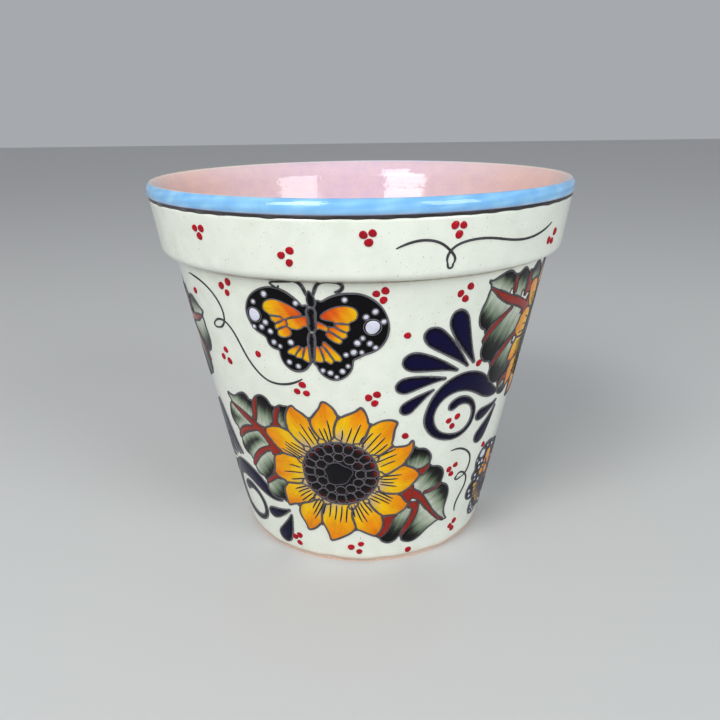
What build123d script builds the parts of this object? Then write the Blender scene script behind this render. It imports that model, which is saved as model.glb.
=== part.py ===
"""Glazed earthenware flower pot with hand-built relief, in millimetres.

+Z is up, the origin is the centre of the foot on the ground, and -Y is the front.
The clay is a tapered wall, a floor disc and a luted rim collar.  Thin glaze coats
cover it, and the sunflowers, leaves, scrolls, butterflies, lines and dots stand
proud of the outer glaze as separate pads of slip and coloured glaze.
"""
from build123d import *
from math import atan2, cos, hypot, pi, radians, sin, tan
import os

os.makedirs("parts", exist_ok=True)

# ---------------------------------------------------------------- sizes
height = 248.6
foot_radius = 86.6
wall_rise = 204.75          # height at which the wall radius below is measured
wall_radius_up = 127.33
wall_thickness = 8.5
coat = 0.6                  # thickness of every glaze coat
foot_bare = 2.5             # bare clay at the foot

collar_bottom = 203.4
collar_round = 6.0
collar_low = (135.2, 205.5)     # collar face, produced down to this height
collar_high = (140.4, 238.2)
line_top = 240.0
lip_bulge = (141.8, 243.4)
lip_crest = (139.3, height)
lip_inner = (132.0, 243.0)

inner_bend = 203.0
inner_top_radius = 129.2
floor_top = 11.0
floor_under = 1.5
drain_radius = 9.0
drain_bare = 14.0           # glaze stops this far from the drain's centre

relief = 0.5                # height of a pad above the glaze
line_half = 0.65            # half the width of a raised outline
dot_radius = 2.1
stroke_half = 0.75


# ---------------------------------------------------------------- the two cones
class Cone:
    """A conical face, on which the decoration is laid out as if unrolled."""

    def __init__(self, low, high):
        self.low = low
        self.angle = atan2(high[0] - low[0], high[1] - low[1])

    def radius(self, z):
        return self.low[0] + (z - self.low[1]) * tan(self.angle)

    def at(self, theta, z):
        r = self.radius(z)
        return Vector(r * cos(theta), r * sin(theta), z)

    def unroll(self, place, x, y):
        """Polar angle and height of a point of the unrolled face."""
        apex = self.radius(place.z) / sin(self.angle)
        reach = hypot(x, apex + y)
        theta = radians(place.theta) + atan2(x, apex + y) / sin(self.angle)
        return theta, place.z + (reach - apex) * cos(self.angle)

    def tangent_plane(self, theta, z):
        out = (cos(theta) * cos(self.angle), sin(theta) * cos(self.angle), -sin(self.angle))
        return Plane(self.at(theta, z), x_dir=(-sin(theta), cos(theta), 0), z_dir=out)


class Place:
    """Where a motif's own x, y origin lies on a cone, how it is turned and its size."""

    def __init__(self, theta, z, shift=(0, 0), turn=0.0, size=1.0, flip=False):
        self.theta, self.z, self.shift = theta, z, shift
        self.turn, self.size, self.flip = turn, size, flip

    def opposite(self):
        return Place(self.theta + 180, self.z, self.shift, self.turn, self.size, self.flip)

    def move(self, point):
        x, y = self.size * point[0], self.size * point[1]
        if self.flip:
            x = -x
        c, s = cos(radians(self.turn)), sin(radians(self.turn))
        return self.shift[0] + c * x - s * y, self.shift[1] + s * x + c * y


wall_cone = Cone((foot_radius, 0), (wall_radius_up, wall_rise))
collar_cone = Cone(collar_low, collar_high)


# ---------------------------------------------------------------- outlines
def grown(points, amount):
    """The closed outline moved outwards by amount (inwards if negative)."""
    area = sum(a[0] * b[1] - b[0] * a[1] for a, b in zip(points, points[1:] + points[:1]))
    sign = 1 if area > 0 else -1
    moved = []
    for before, here, after in zip(points[-1:] + points[:-1], points, points[1:] + points[:1]):
        first = Vector(here[0] - before[0], here[1] - before[1]).normalized()
        second = Vector(after[0] - here[0], after[1] - here[1]).normalized()
        normal = Vector(first.Y + second.Y, -first.X - second.X)
        spread = max(0.5, 0.5 * normal.length)
        step = sign * amount / spread
        normal = normal.normalized()
        moved.append((here[0] + normal.X * step, here[1] + normal.Y * step))
    return moved


def softened(points, rounds=2):
    """The closed outline with its corners cut off, several times over."""
    for _ in range(rounds):
        cut = []
        for (ax, ay), (bx, by) in zip(points, points[1:] + points[:1]):
            cut.append((0.75 * ax + 0.25 * bx, 0.75 * ay + 0.25 * by))
            cut.append((0.25 * ax + 0.75 * bx, 0.25 * ay + 0.75 * by))
        points = cut
    return points


def ribbon(stroke):
    """Outline of a stroke given as (x, y, half width) along its centre line."""
    left, right = [], []
    for k, (x, y, half) in enumerate(stroke):
        before = stroke[max(k - 1, 0)]
        after = stroke[min(k + 1, len(stroke) - 1)]
        run = hypot(after[0] - before[0], after[1] - before[1])
        nx, ny = (before[1] - after[1]) / run, (after[0] - before[0]) / run
        left.append((x + nx * half, y + ny * half))
        right.append((x - nx * half, y - ny * half))
    return left, right[::-1]


def feather(tip, end, half, bend=0.0):
    """A teardrop stroke from its pointed tip to its round end."""
    profile = [(0.0, 0.10), (0.25, 0.40), (0.5, 0.74), (0.72, 0.97), (0.86, 0.96), (0.96, 0.62), (1.0, 0.2)]
    dx, dy = end[0] - tip[0], end[1] - tip[1]
    stroke = []
    for t, w in profile:
        arch = bend * 4 * t * (1 - t)
        stroke.append((tip[0] + t * dx - arch * dy, tip[1] + t * dy + arch * dx, w * half))
    return stroke


def even_stroke(points, half=stroke_half):
    """A slip line of one width that thins out at both ends."""
    last = len(points) - 1
    return [(x, y, half * (0.45 if k in (0, last) else 1.0)) for k, (x, y) in enumerate(points)]


# ---------------------------------------------------------------- sunflower
# Each petal runs up one side to its tip and down the other side.
petals = [
    ([(-22, 20.3), (-31.2, 28.7), (-34.1, 38.5), (-32, 46.2), (-28.2, 50.8)],
     [(-25.3, 47.4), (-20.3, 44.5), (-17, 37.8), (-10.8, 27.2)]),
    ([(-9.9, 27.4), (-14.6, 33.3), (-16.6, 40.3), (-12, 48.7), (-8.7, 56.6)],
     [(-3.7, 53.7), (0.3, 47.5), (-1.4, 39.5), (-0.6, 27.4)]),
    ([(-0.3, 27.4), (-1.6, 36.2), (2.2, 44.5), (9.2, 48.2), (15.5, 52.7)],
     [(18.6, 46.5), (19.4, 38.5), (16.4, 30), (11.3, 25.3)]),
    ([(12.2, 24.5), (17.6, 31), (21, 38), (29.7, 42), (38, 39.1)],
     [(35.3, 32.8), (34, 25.5), (28, 17.2), (21.3, 14.9)]),
    ([(21.9, 13), (28.8, 18.2), (35, 20.9), (43.8, 20.8), (46.7, 25.7)],
     [(47.6, 18.5), (44.7, 12), (36, 3.6), (24.7, 0.6)]),
    ([(24.7, -0.3), (33, 0.9), (40, 5.1), (47.3, 2), (51.7, -5.6)],
     [(46.8, -11), (40, -15.9), (31.3, -15.2), (23.2, -10.4)]),
    ([(22.8, -11.3), (31, -15.8), (37.6, -17.2), (41, -22.8), (44.7, -27.2)],
     [(39.7, -31.7), (32, -34.4), (22.8, -30.4), (18.2, -20.8)]),
    ([(17.4, -22.4), (22.6, -29.6), (26.5, -38), (25.4, -44.5), (21.3, -51.3)],
     [(15.5, -48), (8.6, -42.5), (6.1, -33.6), (9.7, -24)]),
    ([(8.8, -24), (6.2, -31.5), (8.2, -42.5), (1.3, -50), (-9.3, -55.9)],
     [(-11.2, -47.5), (-13.9, -38), (-12.8, -28.6), (-8.7, -22.4)]),
    ([(-10, -21.8), (-14, -31), (-15, -40), (-19.4, -46.6), (-25.3, -50)],
     [(-27, -43.6), (-30.6, -35.5), (-27.6, -27.4), (-19, -21)]),
    ([(-16.6, -17.2), (-20.4, -24), (-27, -26.8), (-34.5, -30.4), (-38.8, -33.4)],
     [(-40.2, -25.5), (-39.6, -16), (-31.5, -11.8), (-22, -9.3)]),
    ([(-22.4, -7.4), (-30.3, -11.4), (-38.5, -11.8), (-45, -10.6), (-49.6, -8.8)],
     [(-46.8, -2.8), (-46, 6), (-37, 10.6), (-25.3, 9.6)]),
    ([(-25.3, 11.2), (-36.5, 11.4), (-43.5, 15), (-48.7, 20.4), (-53.7, 24.1)],
     [(-47, 29.2), (-38.4, 31.6), (-29, 26.2), (-22, 20.3)]),
]
disc_centre = (0.0, 1.8)
disc_radius = 24.2
heart_centre = (-1.2, 2.0)
heart_radius = 8.6
seed_rings = [(13.2, 12, 2.7, 2.9), (20.0, 20, 2.9, 2.7)]     # radius, count, half sizes out and across

# ---------------------------------------------------------------- leaves
# Blades are closed outlines between the veins; veins are (x, y, half width) strokes.
low_left_blades = [
    [(15.5, 18.2), (20.4, 16), (25.4, 16.4), (31, 19.6), (37, 21.8), (40.6, 18.6), (40, 12), (37.6, 3.6),
     (28, 8.6), (18.2, 12.4)],
    [(44.6, 17.8), (50, 22), (55.4, 22.4), (59.4, 17.4), (58, 8.6), (55.6, 1.4), (43, 2), (42.2, 8.6)],
    [(61.8, 13.8), (65.2, 16.8), (69.6, 16), (70, 8), (66, 1.4), (59.4, 1.6)],
    [(18.2, 11.6), (14.4, 5.6), (11.6, -1.4), (13.2, -7.6), (19.6, -9.6), (28, -5), (36.6, -1.8), (28, 3.8)],
    [(17.4, -19.2), (16.8, -25), (21.6, -29.4), (29, -28.6), (37.8, -21.2), (48.6, -15.4), (41.6, -5.8),
     (29.6, -9)],
    [(26, -37.8), (28.4, -42.8), (34, -43.6), (42.4, -38.8), (50, -38.4), (50, -19.2), (41.4, -22.6),
     (33, -29)],
    [(35, -48.6), (33.6, -54.6), (38, -59.2), (45, -59.8), (49.4, -54.6), (50.6, -41), (44.4, -43.6)],
]
low_left_veins = [
    [(18.4, 10.8, 0.4), (24, 8, 1.2), (31, 4.2, 1.9), (40, -1.2, 2.1), (47, -8, 2.2), (52.6, -17.4, 2.2)],
    [(48.2, 19.6, 0.8), (45, 14, 1.7), (43.2, 8, 1.6), (41.4, 2, 0.9)],
    [(65.4, 15.4, 0.8), (61.6, 10, 1.6), (59.2, 4, 1.4), (58.2, -1, 0.8)],
    [(41, -4.4, 0.8), (33.6, -5.6, 1.6), (25.6, -9, 1.8), (20.2, -13, 1.5), (17.2, -17.4, 0.6)],
    [(52.6, -16.6, 0.8), (43, -19.6, 1.6), (34, -26, 1.8), (28.6, -32, 1.5), (25.6, -36.6, 0.6)],
    [(49.6, -39.2, 0.8), (43, -42, 1.3), (38, -45.4, 1.2), (35.2, -47.6, 0.5)],
]
low_right_blades = [
    [(47.6, 14.4), (51, 16.2), (56, 14.6), (59.6, 8.8), (59.2, 3.4), (54.6, 1.2), (50.6, 0.4), (46, 6.6)],
    [(59.8, -0.8), (65.4, -2.6), (69, -7.6), (69.2, -13.6), (66.6, -16.8), (58, -18.4), (50.4, -18.4),
     (47.2, -14.4), (50.6, -9.4), (54.6, -5.4)],
    [(67, -19.4), (71.6, -20.4), (74.6, -27.4), (72.8, -35.4), (70.2, -43), (71.4, -50), (74.4, -55),
     (66.8, -48), (61.8, -39.4), (57.6, -31), (55.4, -24.4), (61, -22.4)],
    [(51.4, -30.4), (55.4, -37.8), (60.6, -46.4), (64.6, -51), (57.4, -53.4), (50, -59.8), (44, -61.4),
     (38.2, -58.4), (37.8, -54.6), (43.6, -48.2), (48.4, -39.8)],
    [(45.4, -29.4), (45.6, -35.2), (41.2, -43), (36.4, -50.8), (35, -55.8), (29.2, -58.6), (23.6, -55),
     (24.4, -52), (29, -46.6), (33, -37.8), (37.6, -32)],
]
low_right_veins = [
    [(39.2, -18.6, 2.6), (45, -18.6, 2.9), (50, -22, 2.4), (53.6, -27.6, 1.7), (57.4, -35, 1.3),
     (62, -43, 1.0), (67.2, -49.8, 0.7), (71.2, -53.4, 0.3)],
    [(58.2, 2.6, 0.6), (55.6, -0.6, 1.4), (53.4, -4, 1.2)],
    [(67.4, -17.8, 0.7), (61.6, -20, 1.2), (54.4, -20.8, 1.0)],
    [(48.8, -26.6, 0.9), (47.8, -34, 1.8), (44.6, -41.4, 2.0), (40.6, -48, 1.6), (37.6, -53, 0.6)],
    [(31.6, -33.8, 1.7), (29.6, -41.4, 1.8), (26.8, -47, 1.4), (23.8, -51.2, 0.5)],
]
high_blades = [
    [(-59.6, 96.8), (-54.6, 95.6), (-48, 99.2), (-41.4, 101.6), (-35.4, 100.4), (-33.6, 95.6), (-34.6, 89),
     (-42.8, 90), (-53, 93.2)],
    [(-28.8, 96), (-26.2, 100.6), (-21.4, 101.6), (-16.6, 98.6), (-16.4, 91), (-19.6, 83.6), (-26, 85.6)],
    [(-8.6, 97.4), (-5.6, 101.4), (0, 102.4), (6, 99.6), (9, 93), (2, 88.6), (-8, 88.4)],
    [(-55.2, 90.4), (-55.4, 84.6), (-58.2, 77.6), (-57.8, 70.6), (-54, 65.4), (-48, 64.4), (-39, 71.6),
     (-29.4, 76.6), (-41.4, 82.6), (-51, 87.8)],
    [(-49.6, 53.4), (-48.4, 47), (-44, 42.4), (-38, 41.4), (-31, 47.2), (-21.4, 54.6), (-13.6, 62),
     (-16, 73), (-24.4, 75.4), (-35, 69.4), (-44.6, 60.6)],
    [(-35.8, 35.4), (-34.8, 29.6), (-30.6, 25), (-23.6, 23.4), (-14, 27), (-12, 38), (-14.6, 52.4),
     (-23, 48), (-31, 40.6)],
    [(-19.6, 18.6), (-16, 13), (-9.6, 11.2), (-3.6, 14.4), (-3.4, 22.6), (-11, 23.6)],
]
high_veins = [
    [(-54.6, 91.8, 0.4), (-46, 87.6, 1.5), (-35, 83, 2.3), (-23, 79.6, 2.5), (-13, 76, 2.5), (-4, 71, 2.4)],
    [(-32, 98, 0.8), (-30.6, 92, 1.6), (-28.8, 86, 1.2)],
    [(-12.4, 98.4, 0.8), (-12.4, 90, 1.8), (-13, 81.6, 1.4)],
    [(-27, 76.6, 0.9), (-36.6, 71, 1.6), (-45.2, 63.4, 1.7), (-49.4, 56.4, 0.8)],
    [(-15, 56.2, 1.0), (-23, 51, 1.7), (-31, 43.8, 1.7), (-35.4, 37.6, 0.8)],
    [(-12, 26.2, 1.0), (-16, 23.4, 1.5), (-19.4, 20.4, 0.8)],
]

# ---------------------------------------------------------------- scroll
spiral = [
    (-19, 16.2, 1.2), (-25.4, 17.8, 3.6), (-33, 21.4, 5.2), (-41, 26.6, 6.4), (-50, 30, 6.6), (-59.4, 30.2, 6.2),
    (-67.4, 26.8, 5.2), (-73.2, 20.6, 4.0), (-76, 12.4, 3.2), (-75.8, 4.6, 3.2), (-72, -2.2, 2.9),
    (-66.4, -6.6, 2.4), (-59, -9, 2.2), (-51.6, -9.2, 1.9), (-45.6, -6.8, 1.6), (-41.6, -2.2, 1.5),
    (-40.4, 4, 1.5), (-42, 10.2, 1.6), (-46.4, 15, 1.9), (-52, 17, 2.6), (-57.6, 16.2, 3.1),
    (-61, 13.2, 2.8), (-62, 11, 1.0),
]
scroll_feathers = [
    ((-52.4, 43.2), (-76, 78.6), 6.4, 0.03),
    ((-57, 41.4), (-93, 65), 6.2, -0.03),
    ((-64.4, 39.2), (-102.6, 44.8), 6.2, -0.05),
    ((-71.6, 34), (-102.6, 26), 5.2, -0.06),
    ((-78, 26.6), (-95.4, 9.6), 4.2, -0.04),
    ((-14.6, 8.6), (-36.4, 1.4), 4.2, 0.04),
    ((-14.4, 4.6), (-29.4, -19.6), 5.4, 0.03),
]

# ---------------------------------------------------------------- butterfly
wings = [
    [(-2.8, 8.4), (-10.3, 15), (-16, 17.8), (-22.4, 18.6), (-28.9, 16.9), (-35.3, 13), (-39.6, 7.9),
     (-41.9, 1.4), (-41.5, -3.6), (-38.9, -9.3), (-35.3, -12.9), (-29.4, -14.8), (-29.2, -17.9),
     (-27.4, -21.1), (-23.9, -22.5), (-21.5, -22.4), (-21.6, -26.4), (-19.6, -31.4), (-15.3, -35),
     (-10.3, -35.9), (-5.3, -33.9), (-2.2, -30), (-3.4, -20), (-2.2, -10), (-2.6, -1)],
    [(4.6, 8.2), (6.9, 10.7), (11.1, 13.9), (16.9, 15.9), (22.6, 16.4), (29, 16.1), (34.7, 13.6),
     (39.7, 9.3), (43.3, 3.6), (45.1, -2.9), (45.1, -8.6), (43.3, -14.3), (39.7, -19.3), (34.7, -22.1),
     (29.7, -23.2), (26.1, -25.4), (23.3, -26.1), (23.1, -30), (21.9, -33.6), (19, -37.1), (14.7, -39.6),
     (10.4, -39.9), (6.1, -37.9), (3.3, -35.4), (0.9, -30.6), (1.8, -20), (3, -10), (4.2, 0)],
]
cells = [
    [(-3.6, 2.8), (-10.3, 7.3), (-18.1, 10.5), (-24.6, 10.5), (-29.2, 6.4), (-28.1, 1.6), (-18.9, 0.7),
     (-9, 1.6)],
    [(-3.4, 0.6), (-9.6, 0.3), (-13.8, -3.4), (-10.3, -7.4), (-5.2, -6.4), (-3.2, -2.6)],
    [(-15.8, -0.7), (-23.9, -0.8), (-24.6, -2.6), (-21.7, -3.8), (-18, -2.4)],
    [(-14, -1.8), (-21.4, -5.2), (-22.4, -7), (-20.6, -7.7), (-16.4, -4.8)],
    [(-15.6, -6.4), (-20.6, -9.6), (-20.8, -12.4), (-16, -13.3), (-10.6, -10)],
    [(-6.6, -16.2), (-15.3, -21.1), (-16.2, -23), (-13.5, -24.2), (-9.6, -21.2)],
    [(-5, -17.4), (-8.6, -21), (-10.6, -24.8), (-9, -26), (-6.8, -23)],
    [(-3.9, -18), (-6, -24.6), (-5, -27.8), (-2.6, -27.6), (-2.9, -21)],
    [(5.2, 1.6), (9.7, 5.4), (14.7, 7.8), (21, 8.7), (26.5, 6.8), (28, 2.4), (25.4, -1.5), (16.9, -1.3),
     (9, -0.2)],
    [(5.2, -1.6), (4.8, -4.4), (6.4, -6.4), (10.2, -6.6), (8, -3)],
    [(13.8, -2.9), (22.6, -4.4), (23.1, -6), (21.2, -7.5), (16.6, -5.2)],
    [(9.2, -3.4), (14, -6), (21.4, -10.2), (20.4, -11.7), (16.4, -10.6)],
    [(7.8, -9), (12.6, -9), (18.2, -13.8), (16.6, -15.7), (11.6, -13)],
    [(5.6, -12.2), (10, -16.6), (16.8, -24), (16.2, -27.2), (12.8, -25.6), (8.4, -19)],
    [(4.4, -15), (8.6, -21), (11.8, -27.4), (9.6, -29), (6.8, -25)],
    [(3.3, -17.4), (5.4, -25.6), (4, -28), (1.9, -26.6), (2, -21)],
]
spots = [
    (-35.3, -1.3, 3.9), (-26.7, 13.1, 1.6), (-7.4, 9.5, 1.3), (-34.8, 7.1, 1.2), (-28.2, -5, 1.5),
    (-36.6, -9.4, 1.1), (-31.2, -8.6, 1.4), (-25.5, -10.5, 1.4), (-24.1, -17.3, 1.4), (-20.2, -19.4, 1.1),
    (-13, -15.9, 1.5), (-15.4, -29.3, 1.3), (-9.9, -31.4, 1.3),
    (35.2, -5.4, 4.2), (20.7, 12.2, 1.3), (37.2, 4.1, 1.5), (31.9, 1.2, 1.4), (41.6, -2.6, 1.3),
    (26.1, -14.9, 1.6), (29.3, -12, 1.2), (33.1, -15.7, 1.4), (36.2, -18.6, 1.2), (28.2, -21.1, 1.1),
    (23.6, -20.9, 1.6), (19.2, -22.4, 1.2), (19.8, -29.9, 1.1), (16.4, -33.3, 1.4), (9.3, -34.4, 1.4),
    (12.7, -37.2, 1.1), (4.9, -33, 1.2),
]
body_parts = [
    [(0.9, 17.2, 0.4), (1.2, 14.4, 1.8), (1.6, 11.6, 2.4), (1.6, 9, 1.8), (1.5, 7.8, 1.0)],
    [(1, 6.8, 1.2), (1, 5, 2.2), (1, 1, 1.8), (1, -3, 1.9), (0.9, -6.2, 1.6), (0.8, -7.6, 0.8)],
    [(0.2, -9, 0.9), (-0.1, -12, 1.6), (-0.4, -18, 1.3), (-0.7, -24, 0.9), (-0.9, -28, 0.4)],
]
antennae = [
    [(-0.9, 14.6), (-2.1, 18.6), (-4.8, 22.2), (-9, 23.4), (-14, 23.5), (-17, 22.6)],
    [(3.3, 14.8), (4.2, 18), (6.8, 22), (11.1, 23.4), (15.6, 23.1), (19, 21.9), (20.1, 19.8), (18.6, 17.7),
     (15.6, 16.9)],
]

# ---------------------------------------------------------------- slip lines and dots
# A line that crosses itself is laid down in two strokes.
wall_flourishes = [
    ([(8, 98), (19, 96.6), (30, 92.4), (37.6, 85), (40.2, 77), (38.4, 70.4), (34, 66.6), (29.4, 65.6)],
     [(27.2, 68.6), (32, 71.3), (38.8, 71), (44.4, 66), (48, 58), (51, 49), (56, 40), (63, 33.6), (72, 31.4),
      (82, 32.6), (88, 35)]),
    ([(-52, -21), (-45, -20.6), (-36.6, -24), (-30.6, -30), (-29, -37), (-31.4, -43.4), (-36, -45.8)],
     [(-40, -43.6), (-37.6, -41.4), (-32, -43.2), (-28.4, -48), (-28.4, -55), (-31.6, -62.6), (-33, -69),
      (-31.6, -75)]),
]
collar_flourish = (
    [(18, 2), (26, 4.9), (34, 5.6), (42, 3.4), (48.6, -2), (51.4, -7), (50, -9.8)],
    [(47, -9), (46.6, -5.4), (49.4, -1), (55, 1.6), (63, 2.4), (75, 1), (90, -3), (105, -5.4), (118, -5),
     (130, -2.4)],
)
wall_dots = [
    (-89, 192), (-83, 196), (-84.6, 188.6), (-94.6, 145.6), (-98.6, 139), (-92, 138.4), (-40, 133),
    (-36.4, 138.2), (-34, 132.6), (3.4, 132), (8.4, 134), (7, 128), (8, 199.4), (13, 201), (12, 195.4),
    (58, 193), (64.6, 196), (61.4, 189), (55.8, 105.4), (62.4, 106.4), (58.6, 100.4), (59, 65), (64.4, 66.4),
    (61, 60.4), (-50, 11), (-46, 14), (-46.4, 7), (-9, 13), (-2.4, 16), (-3.6, 9.4), (64.4, 11.4), (68.4, 14),
    (66.8, 7.6), (-122, 177), (-65.4, 152.8), (26, 172), (76.4, 141), (26, 102), (93, 68), (30, 6),
]
collar_dots = [
    (-101.4, 3.6), (-96, 4.4), (-98, -0.4), (-43, -2.6), (-38, 0.4), (-38.6, -6.4), (1.2, 10.2), (6, 11),
    (4, 6), (50.4, 12), (55.4, 11.4), (53, 6.6), (129, -13.6), (137, -10.4), (134, -15.4),
]

front_left = Place(-152, 100)
front_right = Place(-28, 100)
low_flower = Place(-98.5, 71.6)
high_flower = Place(-28, 100, shift=(29, 50), turn=-21, size=0.93)
high_right_leaf = Place(-28, 100, shift=(45, -11), turn=-20, flip=True)
low_scroll = Place(-152, 100, shift=(64, -76))
high_butterfly = Place(-103.8, 180)
low_butterfly = Place(-28, 100, shift=(8, -56), turn=-48, size=0.85)
dots_front = Place(-90, 0)
collar_front = Place(-90, 220)

turns = [False, True]


def around(place, back):
    """The place itself, or the same place on the far side of the pot."""
    return place.opposite() if back else place


# ---------------------------------------------------------------- relief pads
pad_depth = 34.0            # a pad's prism reaches this far into the wall's curve
pad_lead = 3.0              # and starts this far outside it
wall_limits = (4.0, 203.0)
collar_limits = (210.0, 237.6)
first_layer = (0.0, relief)
second_layer = (relief, relief + 0.3)
button_taper = 25
vein_gap = 0.4              # bare glaze on each side of a vein
cell_inset = 0.1
petal_room = 0.3


def laid(cone, place, plane, points):
    """Points of a motif's own outline, carried to the cone and onto a plane."""
    flat = []
    for point in points:
        theta, z = cone.unroll(place, *place.move(point))
        local = plane.to_local_coords(cone.at(theta, z))
        flat.append((local.X, local.Y))
    return flat


def hub_angle(cone, place, hub=(0, 0)):
    return cone.unroll(place, *place.move(hub))[0]


def hub_plane(cone, place, hub=(0, 0)):
    """The plane that touches the cone at a motif's hub."""
    return cone.tangent_plane(*cone.unroll(place, *place.move(hub)))


def relief_sheet(cone, limits, theta, layer):
    """The thin conical shell that every pad is cut from, its seam turned away from the pads."""
    away = theta + pi
    seam = Plane((0, 0, 0), x_dir=(cos(away), sin(away), 0), z_dir=(sin(away), -cos(away), 0))
    under, over = (level / cos(cone.angle) for level in layer)
    low, high = limits
    with BuildPart() as sheet:
        with BuildSketch(seam):
            with BuildLine():
                Polyline((cone.radius(low) + under, low), (cone.radius(low) + over, low),
                         (cone.radius(high) + over, high), (cone.radius(high) + under, high), close=True)
            make_face()
        revolve(axis=Axis.Z)
    return sheet.part


def closed_face(points, mode):
    with BuildLine() as rim:
        Polyline(*points, close=True)
    make_face(rim.edges(), mode=mode)


def two_sided_face(first, second, mode):
    with BuildLine() as rim:
        up = Spline(*first)
        down = Spline(*second)
        Line(up @ 1, down @ 0)
        Line(down @ 1, up @ 0)
    make_face(rim.edges(), mode=mode)


def pointed_face(first, second, mode):
    """A face whose two sides meet in a point."""
    with BuildLine() as rim:
        up = Spline(*first)
        down = Spline(*([first[-1]] + second))
        Line(down @ 1, up @ 0)
    make_face(rim.edges(), mode=mode)


def write(name, part):
    part.label = name
    export_step(part, f"parts/{name}.step")


def write_pads(name, cone, groups, theta, layer=first_layer):
    """Write one node of pads; groups pairs a plane with the drawings to add and those to cut."""
    limits = collar_limits if cone is collar_cone else wall_limits
    with BuildPart() as pads:
        for plane, drawings, cuts in groups:
            with BuildSketch(plane.offset(pad_lead)):
                for draw in drawings:
                    draw(plane, Mode.ADD)
                for draw in cuts:
                    draw(plane, Mode.SUBTRACT)
            extrude(amount=-pad_depth)
        add(relief_sheet(cone, limits, theta, layer), mode=Mode.INTERSECT)
    write(name, pads.part)


def write_buttons(name, cone, buttons, layer=first_layer):
    """Write one node of small pads; each is a place, x, y, two half sizes and a direction.

    Round pads are tapered, as a drop of glaze is, and oval ones are straight."""
    with BuildPart() as pads:
        for place, x, y, out, across, direction in buttons:
            plane = hub_plane(cone, place, (x, y)).offset(layer[0])
            size = place.size
            with BuildSketch(plane):
                if out == across:
                    Circle(size * out)
                else:
                    Ellipse(size * out, size * across, rotation=direction)
            extrude(amount=layer[1] - layer[0], taper=button_taper if out == across else 0)
    write(name, pads.part)


def draw_petals(cone, place, amount=-line_half):
    def petal(plane, first, second, inset, mode):
        outline = laid(cone, place, plane, grown(first + second, inset))
        pointed_face(outline[:len(first)], outline[len(first):], mode)

    def draw(plane, mode):
        for k, (first, second) in enumerate(petals):
            if k and mode == Mode.ADD:
                petal(plane, first, second, 0, Mode.SUBTRACT)
            petal(plane, first, second, amount, mode)
    return draw


def draw_blades(cone, place, blades, amount=-line_half):
    def draw(plane, mode):
        for blade in blades:
            closed_face(laid(cone, place, plane, softened(grown(blade, amount))), mode)
    return draw


def draw_stroke_room(cone, place, strokes, widen):
    """The strokes with bare glaze round them, for cutting."""
    def draw(plane, mode):
        for stroke in strokes:
            left, right = ribbon([(x, y, half + widen) for x, y, half in stroke])
            closed_face(laid(cone, place, plane, softened(left + right, 1)), mode)
    return draw


def draw_petal_room(cone, place):
    """The whole petals with bare glaze round them, for cutting."""
    def draw(plane, mode):
        for first, second in petals:
            closed_face(laid(cone, place, plane, softened(grown(first + second, petal_room))), mode)
    return draw


def draw_strokes(cone, place, strokes):
    def draw(plane, mode):
        for stroke in strokes:
            left, right = ribbon(stroke)
            two_sided_face(laid(cone, place, plane, left), laid(cone, place, plane, right), mode)
    return draw


def draw_round(cone, place, centre, radius):
    def draw(plane, mode):
        with Locations(laid(cone, place, plane, [centre])[0]):
            Circle(place.size * radius, mode=mode)
    return draw


# ---------------------------------------------------------------- clay
inner_low = wall_cone.radius(inner_bend) - wall_thickness
inner_foot = wall_cone.radius(floor_top) - wall_thickness
bare = coat / cos(wall_cone.angle)

with BuildPart() as pot_wall:
    with BuildSketch(Plane.XZ):
        with BuildLine():
            Polyline(
                (inner_foot + coat, 0), (wall_cone.radius(0) - bare, 0),
                (wall_cone.radius(collar_high[1]) - bare, collar_high[1]),
                (inner_top_radius + coat, collar_high[1]), (inner_low + coat, inner_bend),
                (inner_foot + coat, floor_top), close=True,
            )
        make_face()
    revolve(axis=Axis.Z)
write("pot_wall", pot_wall.part)

with BuildPart() as base_disc:
    with BuildSketch(Plane.XY.offset(floor_under)):
        Circle(inner_foot + coat)
        Circle(drain_radius, mode=Mode.SUBTRACT)
    extrude(amount=floor_top - floor_under)
write("base_disc", base_disc.part)


def collar_section(inset):
    """Half section of collar and lip: the clay inside its glaze, or with no inset the glazed shape."""
    corner = (collar_cone.radius(collar_bottom) - inset, collar_bottom + inset)
    hide = bare if inset else 0
    seat_height = collar_high[1]
    with BuildLine() as outline:
        under = Line((wall_cone.radius(corner[1]) - hide, corner[1]), corner)
        face = Line(corner, (collar_high[0] - inset, seat_height))
        neck = Line(face @ 1, (collar_high[0] + 0.3 - inset, line_top))
        roll = ThreePointArc(neck @ 1, (lip_bulge[0] - inset, lip_bulge[1]), (lip_crest[0], height - inset))
        shoulder = (lip_inner[0] + 2.6 + 0.7 * inset, lip_inner[1] + 2.8 - 0.7 * inset)
        slope = ThreePointArc(roll @ 1, shoulder, (lip_inner[0] + inset, lip_inner[1]))
        inside = Line(slope @ 1, (inner_top_radius + inset, seat_height))
        seat = Line(inside @ 1, (wall_cone.radius(seat_height) - hide, seat_height))
        Line(seat @ 1, under @ 0)
        edge = outline.vertices().sort_by_distance((corner[0], corner[1], 0))[0]
        fillet(edge, collar_round - inset)
    make_face(outline.edges())


def collar_coat(radii, heights):
    """The glaze on the collar and lip within a range of radius and height."""
    with BuildSketch() as clay_section:
        collar_section(coat)
    with BuildSketch(Plane.XZ) as coat_section:
        collar_section(0)
        add(clay_section.sketch_local, mode=Mode.SUBTRACT)
        with Locations(((radii[0] + radii[1]) / 2, (heights[0] + heights[1]) / 2)):
            Rectangle(radii[1] - radii[0], heights[1] - heights[0], mode=Mode.INTERSECT)
    return coat_section


with BuildPart() as rim_collar:
    with BuildSketch(Plane.XZ):
        collar_section(coat)
    revolve(axis=Axis.Z)
write("rim_collar", rim_collar.part)

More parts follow.
